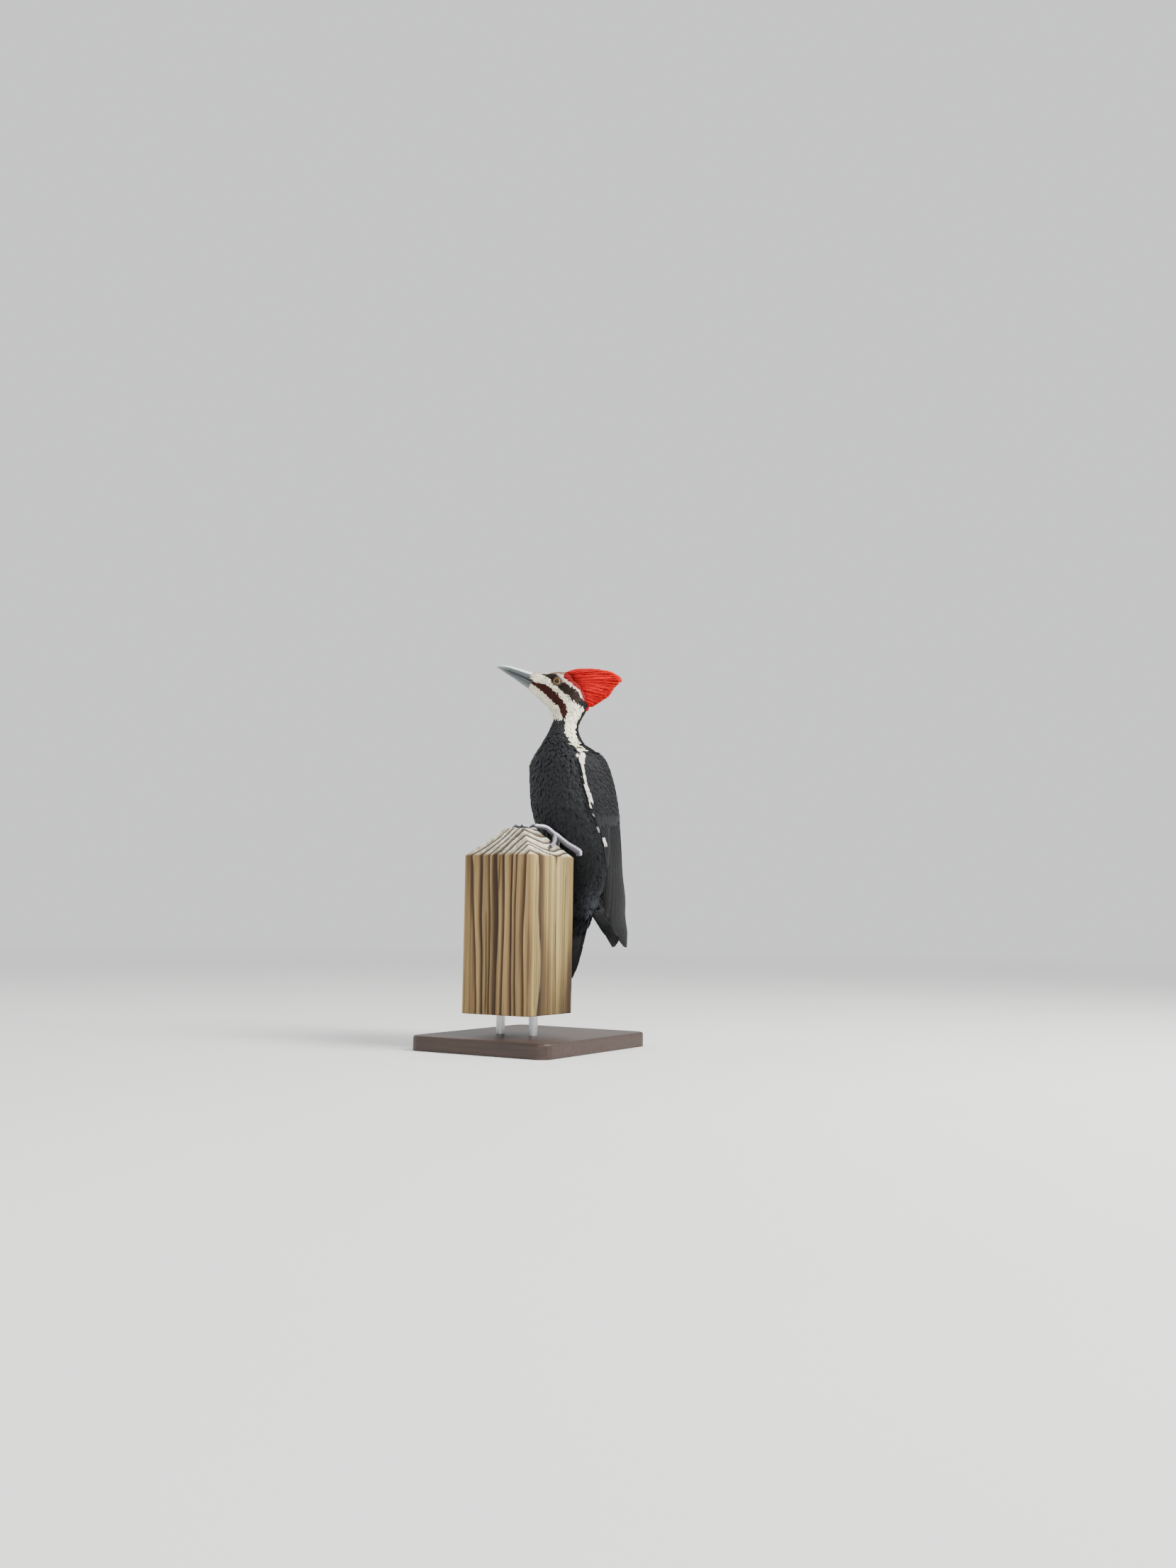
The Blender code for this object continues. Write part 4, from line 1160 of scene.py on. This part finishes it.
def buildMandible(name, node, table, section, outerTone, paleUntil, paleFade, order):
    # order is 1 for the upper mandible, whose section starts at the culmen, and -1 for the lower
    rows = readTable(table, np.append(-0.25, np.linspace(0.0, len(table) - 1, 64)))
    share, width = np.array(section).T
    depth = np.concatenate([share, share[-2::-1]])
    flat = np.interp(share, [0.0, 0.88, 1.0], [0.0, 1.0, 0.95]) ** 0.6
    # painted highlight along the upper ridge, painted shade up both flanks; the seam line dark, partly a real
    # seam and partly painted shade
    paint = blend(billTones[outerTone], billTones["flank"], ramped(depth, paleUntil, paleFade))
    paint = blend(paint, billTones["edge"], ramped(depth, 0.76, 0.12))
    along = even(len(rows))
    rings, colours = [], []
    for t, (*edges, half) in zip(along, rows):
        outer, seam = np.reshape(edges, (2, 2))[::order]
        seam = seam + unit(seam - outer) * 0.5
        wide = half * (width * (1 - t**3) + flat * t**3)
        spot = outer + (seam - outer) * share[:, None]
        rings.append(np.concatenate([onHead(*spot.T, wide), onHead(*spot.T, -wide)[-2::-1]]))
        colours.append(blend(paint, billTones["tip"], 0.55 * ramped(t, 0.55, 0.45)))
    across = np.abs(np.linspace(-1, 1, len(depth)))
    maps = {"vane": np.stack(np.meshgrid(across, along), -1).reshape(-1, 2)}
    piece = newTubes(name, [np.array(rings)], maps, np.concatenate(colours))
    finishPiece(piece, billHorn, "bill", node)


buildMandible("billUpper", "bill_upper", billUpper, upperSection, "ridge", 0.2, 0.22, 1)
buildMandible("billLower", "bill_lower", billLower, lowerSection, "lower", 0.0, 0.5, -1)
print("bill built")


# nasal tufts at the bill's root
nasalPlan = {"count": 420, "length": 6.5, "width": 0.75, "lift": 0.9, "camber": 0.2,
             "angles": (94.0, 176.0), "rows": (0.6, 4.6), "clear": 7.25}  # clear of the bill's flank


def buildNasalTufts():
    count = nasalPlan["count"]
    angle = draw.uniform(*nasalPlan["angles"], count) * draw.choice([-1.0, 1.0], count)
    row, column = draw.uniform(*nasalPlan["rows"], count), (angle % 360.0) / 360.0 * flesh["columns"]
    root = fleshBed.lay(row, column, np.full(count, 0.5))
    along, height, lateral = headFrame(root)
    length = draw.normal(nasalPlan["length"], 1.2, count)
    tipAlong = along - length * 0.86
    tipHeight = height + length * draw.uniform(0.2, 0.42, count) * np.where(height > 211.0, 0.5, 1.0)
    half = nasalPlan["clear"] - 1.4 * np.clip((16.0 - tipAlong) / 20.0, 0.0, 1.0)
    tip = onHead(tipAlong, tipHeight, np.sign(lateral) * np.minimum(np.abs(lateral) * 0.9 + 0.3, half))
    outward = unit(fleshBed.read(fleshBed.normals, row, column) + 0.6 * np.sign(lateral)[:, None] * headLeft)
    form = np.interp(even(6), [0.0, 0.4, 1.0], [0.7, 1.0, 0.12])
    width = draw.normal(nasalPlan["width"], 0.12, count)
    paint = blend(palette["nasal"], palette["forehead"], ramped(np.abs(angle), 150.0, 20.0))
    paint = (paint * draw.normal(1.0, 0.1, (count, 1)))[:, None]
    middle = (root + tip) / 2.0 + outward * nasalPlan["lift"]
    tufts = layPlumes("nasalTufts", root, middle, tip, outward[:, None], form, width, nasalPlan["camber"],
                      paint, row, angle)
    finishPiece(tufts, down, "head_plumage", "head")


buildNasalTufts()


# eyes and lids
gaze = {"rings": 44, "around": 72, "pupil": 23.0, "iris": 39.5, "painted": 54.0, "beads": 30}  # degrees
eyeTones = tones(lid=(66, 62, 60), inner=(146, 92, 22), outer=(170, 118, 34))
lidRows = (  # degrees out from the opening, height over the eyeball
    (0.4, 0.06), (-0.3, 0.2), (0.2, 0.5), (1.8, 0.78), (4, 0.84), (6, 0.7), (7.6, 0.6), (9.6, 0.82),
    (12.5, 0.9), (15, 0.76), (16.6, 0.68), (18.6, 0.84), (22, 0.88), (27, 0.8), (34, 0.62), (38, 0.4),
    (38, -0.3), (15, -0.1),
)


def eyeFinish():  # rings of colour round the pupil, on a flat map of the globe
    finish = Finish("eyeGlobe", 0.25, Coat_Weight=0.3, Coat_Roughness=0.03, Specular_IOR_Level=0.15)
    spot = finish.vector("SUBTRACT", finish.vane(), (0.5, 0.5, 0.0))
    streak = finish.noise(finish.vector("NORMALIZE", spot), 9.0, 5.0, 0.75)
    level = finish.remap(streak, 0.3, 0.7, 0.62, 1.15)
    polar = finish.remap(finish.vector("LENGTH", spot), 0.0, 0.15, 0.0, 1.0)
    pupil, iris = gaze["pupil"] / gaze["painted"], gaze["iris"] / gaze["painted"]
    colour = finish.ramp(polar, (pupil - 0.01, (0.004, 0.004, 0.004)), (pupil + 0.025, (0.22, 0.085, 0.01)),
                         (pupil + 0.1, eyeTones["inner"]), (iris - 0.08, eyeTones["outer"]),
                         (iris - 0.01, (0.12, 0.05, 0.01)), (iris + 0.03, (0.012, 0.008, 0.006)))
    return finish.done(finish.mix(colour, level))


def buildEye(side, name, material):
    outward, front = headLeft * side, unit(headFront + 0.32 * skyward)
    up = np.cross(outward, front) * side
    turn = fullTurn(gaze["around"])
    spread = np.cos(turn)[:, None] * front + np.sin(turn)[:, None] * up

    def shell(polar, radius):  # places round the eye's centre
        polar = polar[..., None]
        return eyeCentre(side) + radius * (np.cos(polar) * outward + np.sin(polar) * spread)
    polar = np.radians(np.append(0.3, np.linspace(2.0, 178.0, gaze["rings"])))[:, None]
    flat = np.stack([np.cos(turn), np.sin(turn)], -1)
    maps = {"vane": (0.5 + flat * (polar / math.tau)[..., None]).reshape(-1, 2),
            "OFBake": (0.5 + 0.5 * flat * np.sqrt(polar / math.pi)[..., None]).reshape(-1, 2)}
    globe = newTubes("eye" + name, [shell(polar, eye["radius"])], maps)
    finishPiece(globe, material, "eye", "eye_" + name.lower())

    # the lids, one closed ring round the opening
    out, rise = np.array(lidRows).T[:, :, None]
    lean = np.abs(np.cos(turn) / eye["halfLength"]) ** 1.8 + np.abs(np.sin(turn) / eye["halfHeight"]) ** 1.8
    beads = np.where(rise > 0.7, 1.0 + 0.10 * np.sin(turn * gaze["beads"]), 1.0)
    rings = shell(np.radians(lean ** (-1 / 1.8) + out), (eye["radius"] + rise * beads)[..., None])
    shade = np.interp(out, [0.0, 3.0, 12.0, 30.0], [0.6, 1.0, 0.8, 0.7])[..., None]
    faces = loftFaces(len(lidRows) + 1, gaze["around"]) % (len(lidRows) * gaze["around"])
    paint = np.broadcast_to(eyeTones["lid"] * shade, rings.shape).reshape(-1, 3)
    lid = newMesh("lids" + name, rings.reshape(-1, 3), [faces], colours=paint)
    turnOutwards(lid)
    finishPiece(lid, lidTissue, "head_plumage")


globeFinish = eyeFinish()
for name, side in sides.items():
    buildEye(side, name, globeFinish)
print("eyes and lids built")


# feet and claws
# each digit from its root to its claw's tip: place and radius
feet = {
    "Left": {
        "tarsus": ((47.5, 50.5, 2.5, 3), (47.5, 49.5, 7, 4), (38, 40, 15.5, 3.2), (27.5, 29.5, 26, 3.6)),
        "third": ((27.5, 29.5, 26, 3.2), (18, 21.5, 34.5, 2.6), (10.5, 13.5, 35.2, 2.3), (6.5, 8.5, 33, 0.8)),
        "second": ((27.5, 29.5, 26, 3), (22, 16, 34, 2.4), (15, 5.5, 35, 2.2), (11.5, 0, 33, 0.8)),
        "fourth": ((27.5, 29.5, 26, 3), (34, 16.5, 15, 2.4), (38, 4, 11, 2.2), (40.8, -2.5, 6.6, 0.8)),
        "first": ((30, 32, 23.5, 2.8), (24.5, 39, 9.4, 2), (20, 43, 5.2, 1.8), (16.5, 45.6, 1.6, 0.7)),
    },
    "Right": {
        "tarsus": ((-1.5, 54.5, 3, 3), (-1.5, 53, 7.5, 4), (-3, 40, 14.5, 3.2), (-4.5, 26.5, 26.5, 3.6)),
        "third": ((-4.5, 26.5, 26.5, 3.2), (-7, 15.5, 34.5, 2.6), (-9.5, 5.5, 35.2, 2.3),
                  (-10.8, -1, 33, 0.8)),
        "second": ((-4.5, 26.5, 26.5, 3), (-2, 14.5, 34, 2.4), (-1.5, 5.5, 35, 2.2), (-1.2, -0.8, 33, 0.8)),
        "fourth": ((-4.5, 26.5, 26.5, 3), (-15, 28.5, 20.5, 2.4), (-26, 32.5, 16, 2.2),
                   (-32, 34.8, 11.2, 0.8)),
        "first": ((-4, 30, 23, 2.6), (3.5, 36, 12.8, 1.9), (8.5, 40, 9, 1.7), (10.4, 43, 4.6, 0.7)),
    },
}
footPlan = {"around": 20, "clawAround": 16, "step": 0.5, "voxel": 0.34, "scute": 1.7, "shankScute": 2.3,
            "groove": 0.42, "round": 2.2, "rise": 2.0, "bite": 0.9, "shadedDigits": {"fourth": 0.68, "first": 0.5}}
# the scale tone is a painted highlight on top; the gap and sole tones are painted shade in the grooves and
# underneath
footTones = tones(scale=(232, 230, 248), gap=(66, 66, 76), sole=(74, 72, 78), horn=(46, 44, 46))


def limbPath(joints):  # places, radii, lie and the way the back of the toe faces
    joints = np.array(joints, float)
    count = int(np.linalg.norm(np.diff(joints[:, :3], axis=0), axis=1).sum() / footPlan["step"])
    spots = readTable(joints, np.linspace(0.0, len(joints) - 1, count))
    centre = fromPost(*spots.T[:3])
    run = unit(np.gradient(centre, axis=0))
    return centre, spots[:, 3], run, squareTo(run, spots[:, :3] + 14.0 * skyward)


def toePath(joints):  # a toe without its claw, rounded off at the end, with a pad under each joint
    centre, radius, run, away = limbPath(joints[:-1])
    along = np.append(0.0, np.cumsum(np.linalg.norm(np.diff(centre, axis=0), axis=1)))
    swell = 1.0 + 0.10 * np.cos(math.tau * along / along[-1] * 1.5) ** 2
    end = ramped(along, along[-1] - footPlan["round"], footPlan["round"])
    return centre, radius * swell * np.sqrt(np.clip(1.0 - end**2, 0.02, 1.0)) * 0.96, run, away


def buildFoot(name, digits):
    paths = {digit: (limbPath if digit == "tarsus" else toePath)(joints) for digit, joints in digits.items()}
    tubes = []
    for digit, (centre, radius, run, away) in paths.items():
        if digit == "tarsus":  # rounded at the heel
            radius = radius * np.sqrt(1.0 - np.clip(1.0 - np.arange(len(radius)) / 6.0, 0, 0.97) ** 2)
        tubes.append(ringsAlong(centre, radius, run, away, footPlan["around"]))
    foot = newTubes("foot" + name, tubes)
    fuse(foot, footPlan["voxel"], 2)

    # scales on the back of each digit, grains on its sole
    spots = np.array([vertex.co for vertex in foot.data.vertices]) / mm
    best, along, back, pitch, shade = (np.full(len(spots), value) for value in (1e9, 0.0, 0.0, 1.0, 1.0))
    away = np.zeros((len(spots), 3))
    for digit, (centre, radius, run, upward) in paths.items():
        gap = np.linalg.norm(spots[:, None] - centre, axis=-1) - radius
        own = gap.min(1) < best
        nearest = gap.argmin(1)[own]
        offset = spots[own] - centre[nearest]
        best[own] = gap.min(1)[own]
        along[own] = nearest * footPlan["step"] + (offset * run[nearest]).sum(-1)
        away[own] = unit(offset)
        back[own] = (away[own] * upward[nearest]).sum(-1)
        pitch[own] = footPlan["shankScute" if digit == "tarsus" else "scute"]
        # painted shade on the fourth and first toes, growing away from their roots
        shade[own] = 1.0 - footPlan["shadedDigits"].get(digit, 0.0) * ramped(along[own], 0.0, 3.5)
    scute = 1.0 - np.abs(2.0 * ((along / pitch) % 1.0) - 1.0) ** 5
    top = ramped(back, -0.15, 0.35)
    pebble = 0.5 + 0.5 * np.sin(along * 5.2) * np.sin(np.arccos(np.clip(back, -1, 1)) * 9.0)
    relief = scute * top + pebble * 0.6 * (1.0 - top)
    put(foot.data.vertices, "co", (spots + away * ((relief - 0.5) * footPlan["groove"])[:, None]) * mm)
    foot.data.update()
    # painted shade in the grooves between the scales
    paint = blend(footTones["gap"], footTones["scale"], np.clip(relief * 1.5, 0, 1))
    paint = blend(paint, footTones["sole"], 0.9 * (1.0 - ramped(back, -0.1, 0.7)))  # painted highlight above, painted shade below, by which way the skin faces
    paintPoints(foot.data, paint * shade[:, None])
    foot.data.shade_smooth()
    finishPiece(foot, scutes, "foot", "foot_" + name.lower())
    buildClaws("foot" + name + "Claws", [joints for digit, joints in digits.items() if digit != "tarsus"])


def buildClaws(name, toes):
    tubes, u = [], even(18)[:, None]
    for joints in toes:
        centre, radius, run, away = limbPath(joints)
        root = fromPost(*joints[-2][:3]) - run[-1] * 1.2
        tip = fromPost(*joints[-1][:3]) + run[-1] * 0.6 - away[-1] * footPlan["bite"]
        path = bent(root, (root + tip) / 2.0 + away[-1] * footPlan["rise"], tip, u)
        lie = unit(np.gradient(path, axis=0))
        size = joints[-2][3] * 0.72 * (1.0 - u[:, 0] ** 1.5) + 0.09
        tubes.append(ringsAlong(path, size, lie, squareTo(lie, away[-1]), footPlan["clawAround"], 0.66))
    paint = np.repeat(footTones["horn"] * (1.15 - 0.6 * u), footPlan["clawAround"], axis=0)
    finishPiece(newTubes(name, tubes, colours=np.tile(paint, (len(toes), 1))), clawHorn, "foot")


for name, digits in feet.items():
    buildFoot(name, digits)
print("feet and claws built")


# post
post = {"side": 89.0, "bottom": -175.0, "cap": 31.5, "arris": 1.8, "step": 1.6, "rowStep": 3.5,
        "pith": (-67.0, 5.0), "lean": (0.012, 0.03), "ring": 7.6, "late": 0.46, "wander": 5.5}
# drying cracks: face from the front turning to the right, place across it, depth, half width, from, to
cracks = ((0, -0.3, 2.6, 0.45, -175, -62), (0, 0.46, 1.8, 0.35, -110, 0), (0, 0.08, 1.2, 0.3, -40, 8),
          (1, -0.78, 2.4, 0.45, -175, -3), (1, 0.2, 1.7, 0.35, -175, -70), (1, 0.62, 1.4, 0.35, -150, -22),
          (2, 0.1, 3.2, 0.6, -175, -20), (3, -0.2, 2.6, 0.5, -150, -5), (3, 0.5, 1.6, 0.35, -80, 4))
postTones = tones(early=(196, 172, 120), middle=(176, 148, 98), late=(104, 78, 52), line=(72, 52, 36),
                  capEarly=(240, 234, 216), capMiddle=(206, 196, 170), capLate=(112, 100, 84),
                  capLine=(62, 54, 46))
# painted shade for each face: how light its side is, by colour, and how light its chamfer is
paintedFaceShade = (((0.64, 0.6, 0.6), 0.8), ((0.66, 0.68, 0.6), 1.0), ((0.8, 0.76, 0.7), 1.0),
              ((0.7, 0.64, 0.58), 0.86))


def postFinish():
    finish = Finish("weatheredPine", 0.78, Specular_IOR_Level=0.3)
    place = finish.place()
    parts = finish.add("SeparateXYZ", {"Vector": place})
    flat = {}  # place across the grain, from the leaning pith
    for axis, pith, lean, origin in zip("XY", post["pith"], post["lean"], (0.0, site["postY"])):
        leaning = finish.calc("MULTIPLY", parts["Z"], -lean)
        flat[axis] = finish.calc("ADD", finish.calc("ADD", parts[axis], -(origin + pith) * mm), leaning)
    radius = finish.vector("LENGTH", finish.add("CombineXYZ", flat)["Vector"])
    broad = finish.noise(finish.stretch(place, 1.0, 1.0, 0.22), 26.0, 2.0, 0.4)
    wander = post["wander"] * mm
    warped = finish.calc("ADD", radius, finish.remap(broad, 0.0, 1.0, -wander, wander))
    turns = finish.calc("MULTIPLY", warped, 1.0 / (post["ring"] * mm))
    uneven = finish.noise(finish.add("CombineXYZ", {"X": turns})["Vector"], 0.8, 1.0)
    fraction = finish.calc("FRACT", finish.calc("MULTIPLY_ADD", uneven, 1.3, turns))
    late = 1.0 - post["late"]
    grey = [(0.0, "early"), (late * 0.75, "middle"), (late + 0.16, "late"), (0.93, "line"), (1.0, "early")]
    pale = [(0.03, "capEarly"), (0.45, "capMiddle"), (0.7, "capLate"), (0.84, "capLine"), (0.95, "capLine"),
            (1.0, "capEarly")]
    colour, capRings = (finish.ramp(fraction, *((spot, postTones[key]) for spot, key in stops))
                        for stops in (grey, pale))
    cap = [(site["capLevel"] + margin) * mm for margin in (-1.0, 4.0)]
    # paler ring colours on the cap than on the sides
    sideAndCap = finish.mix(colour, capRings, finish.remap(parts["Z"], *cap, 0.0, 1.0), "MIX")
    fine = finish.noise(finish.stretch(place, 900.0, 900.0, 22.0), 1.0, 4.0, 0.65)
    broken = finish.noise(finish.stretch(place, 170.0, 170.0, 2.4), 1.0, 3.0, 0.6)
    both = finish.mix(sideAndCap, finish.remap(fine, 0.25, 0.75, 0.7, 1.16))
    both = finish.mix(finish.mix(both, finish.plume()), finish.remap(broken, 0.36, 0.6, 0.5, 1.08))
    relief = finish.calc("MULTIPLY_ADD", fine, 1.4, finish.remap(fraction, 0.0, late, 1.0, 0.0))
    return finish.done(both, relief, 0.5, 0.0003)


def postLevels():  # half width and height of the post's rings
    half, cap = post["side"] / 2.0, post["cap"]
    levels = [post["bottom"] + 0.8, *np.arange(post["bottom"] + 4.0, -2.5, post["rowStep"]), -1.8, -0.7]
    rows = [(half - 0.8, post["bottom"])] + [(half, z) for z in levels] + [(half - 0.35, 0.15)]
    rows += [(half - cap * t, cap * t) for t in np.linspace(0.02, 0.985, 26)]
    top = half - cap
    return rows + [(top - 0.3, cap - 0.08)] + [(top * k, cap) for k in (0.85, 0.6, 0.35, 0.12)]


def postEdge(face, reach, z):  # one face and the corner after it: places and shades
    half, bevel = post["side"] / 2.0, min(post["arris"], reach * 0.2)
    small = min(1.0, reach / half)
    outward = np.array([(0.0, -1.0), (1.0, 0.0), (0.0, 1.0), (-1.0, 0.0)][face])
    beside = np.array([-outward[1], outward[0]])
    marks = [crack[1:] for crack in cracks if crack[0] == face]
    plain = np.linspace(-1.0, 1.0, int(post["side"] / post["step"]) + 1)
    lips = np.array([-1.6, -0.8, 0.0, 0.8, 1.6]) / half
    t = np.concatenate([plain] + [mark[0] + lips * mark[2] for mark in marks])
    t = np.unique(np.clip(np.round(t, 5), -1.0, 1.0))
    sunk, dark = np.zeros(len(t)), np.ones(len(t))
    for spot, depth, width, low, high in marks:
        ends = np.clip(min(z - low, high - z) / 14.0, 0.0, 1.0) ** 0.5
        off = (t - spot) * half / width
        sunk += depth * ends * np.exp(-(off**2)) * small
        # painted shade inside each crack
        dark -= 0.75 * ends * np.exp(-((off / 1.3) ** 2))
    sway = 0.9 * np.sin(z / 31.0 + face) * (1 - t**2) * reach / half
    fibre = 0.10 * np.sin(t * 61.0 + face) + 0.08 * np.sin(t * 127.0 + 2.0 * face + z / 60.0)
    flat = outward * (reach - sunk + fibre * small)[:, None] + beside * (t * (reach - bevel) + sway)[:, None]
    low, high = paintedFaceShade[face]
    corner = math.pi / 2 * np.array([0.25, 0.5, 0.75])[:, None]
    flats, turn = reach - bevel, bevel * np.array([np.cos(corner), np.sin(corner)])
    curve = outward * (flats + turn[0]) + beside * (flats + turn[1])
    # painted shade: each face and its chamfer lighter or darker by which way it faces
    shade = dark[:, None] * (np.array(low) + (high - np.array(low)) * np.clip(z / 1.5, 0.0, 1.0))
    return np.concatenate([flat, curve]), np.concatenate([shade, np.ones((3, 3))])


def buildPost():
    rings, shades = [], []
    for reach, z in postLevels():
        edges = [postEdge(face, reach, z) for face in range(4)]
        ring, shade = (np.concatenate(part) for part in zip(*edges))
        rings.append(fromPost(ring[:, 0], ring[:, 1], z))
        shades.append(np.clip(shade, 0.1, 1.1))
    wood = newTubes("postWood", [np.array(rings)], colours=np.concatenate(shades), smooth=False)
    bpy.ops.object.select_all(action="DESELECT")
    bpy.context.view_layer.objects.active = wood
    wood.select_set(True)
    bpy.ops.object.shade_smooth_by_angle(angle=math.radians(38.0))
    wood.select_set(False)
    finishPiece(wood, postFinish(), "post_wood", "perch_post")


buildPost()
print("post built")


# stand: the source's own solids, with a finish of their own
def grainFinish(name, stretch, detail, grain, low, high, roughness, **values):
    finish = Finish(name, roughness, **values)
    fibre = finish.noise(finish.stretch(finish.place(), *stretch), 1.0, detail, grain)
    return finish.done(finish.ramp(fibre, (0.3, low), (0.7, high)))


woodTones = tones(dark=(34, 22, 16), light=(62, 40, 28))
lacquer = grainFinish("standLacquer", (14.0, 320.0, 320.0), 5.0, 0.6, *woodTones.values(), 0.5,
                      Coat_Weight=0.12, Coat_Roughness=0.3)
steel = grainFinish("standSteel", (60.0, 60.0, 2400.0), 3.0, 0.5, (0.46, 0.46, 0.47), (0.62, 0.62, 0.63),
                    0.34, Metallic=1.0)
for name, material in (("stand_base", lacquer), ("stand_rod_left", steel), ("stand_rod_right", steel)):
    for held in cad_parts[name].material_slots:
        held.material = material
print("stand finished")


# stage
stage = {"floor": 60.0, "floorColour": (0.80, 0.80, 0.79), "world": 1.15, "backdrop": (0.86, 0.87, 0.87)}


def setStage():
    bpy.ops.mesh.primitive_plane_add(size=stage["floor"], location=(0, 0, -0.0005))
    floor = bpy.context.object
    floor.name = "floor"
    finish = Finish("floorPaint", 0.75)
    place, dark = finish.place(), stage["floorColour"]
    light = [1.03 * part for part in dark]
    material = finish.done(finish.ramp(finish.noise(place, 3.0, 4.0), (0.3, dark), (0.7, light)))
    fade = finish.remap(finish.vector("LENGTH", place), 1.2, 7.0, 0.0, 1.0, interpolation_type="SMOOTHSTEP")
    backdrop = finish.add("Emission", {"Color": (*stage["backdrop"], 1.0), "Strength": stage["world"]})
    mix = finish.add("MixShader", {0: fade, 1: finish.shader.outputs[0], 2: backdrop[0]})
    finish.give(finish.tree.nodes["Material Output"].inputs["Surface"], mix[0])
    floor.data.materials.append(material)
    world = bpy.data.worlds.new("studio")
    world.use_nodes = True
    sky = world.node_tree.nodes["Background"].inputs
    sky["Color"].default_value = (*stage["backdrop"], 1.0)
    sky["Strength"].default_value = stage["world"]
    bpy.context.scene.world = world


def addLight(name, place, size, power, colour):
    data = bpy.data.lights.new(name, "AREA")
    data.shape, data.size, data.energy, data.color = "DISK", size, power, colour
    light = addObject(name, data)
    light.location = place
    light.rotation_euler = (Vector((0.0, 0.0, 0.3)) - Vector(place)).to_track_quat("-Z", "Y").to_euler()


setStage()
addLight("skyLight", (1.5, 0.2, 1.6), 0.9, 84.0, (1.0, 0.98, 0.95))
addLight("frontFill", (0.9, -1.5, 0.9), 1.2, 9.0, (1.0, 1.0, 1.0))
addLight("leftFill", (-1.5, -0.4, 0.9), 1.2, 3.0, (1.0, 1.0, 1.0))
print("stage set")
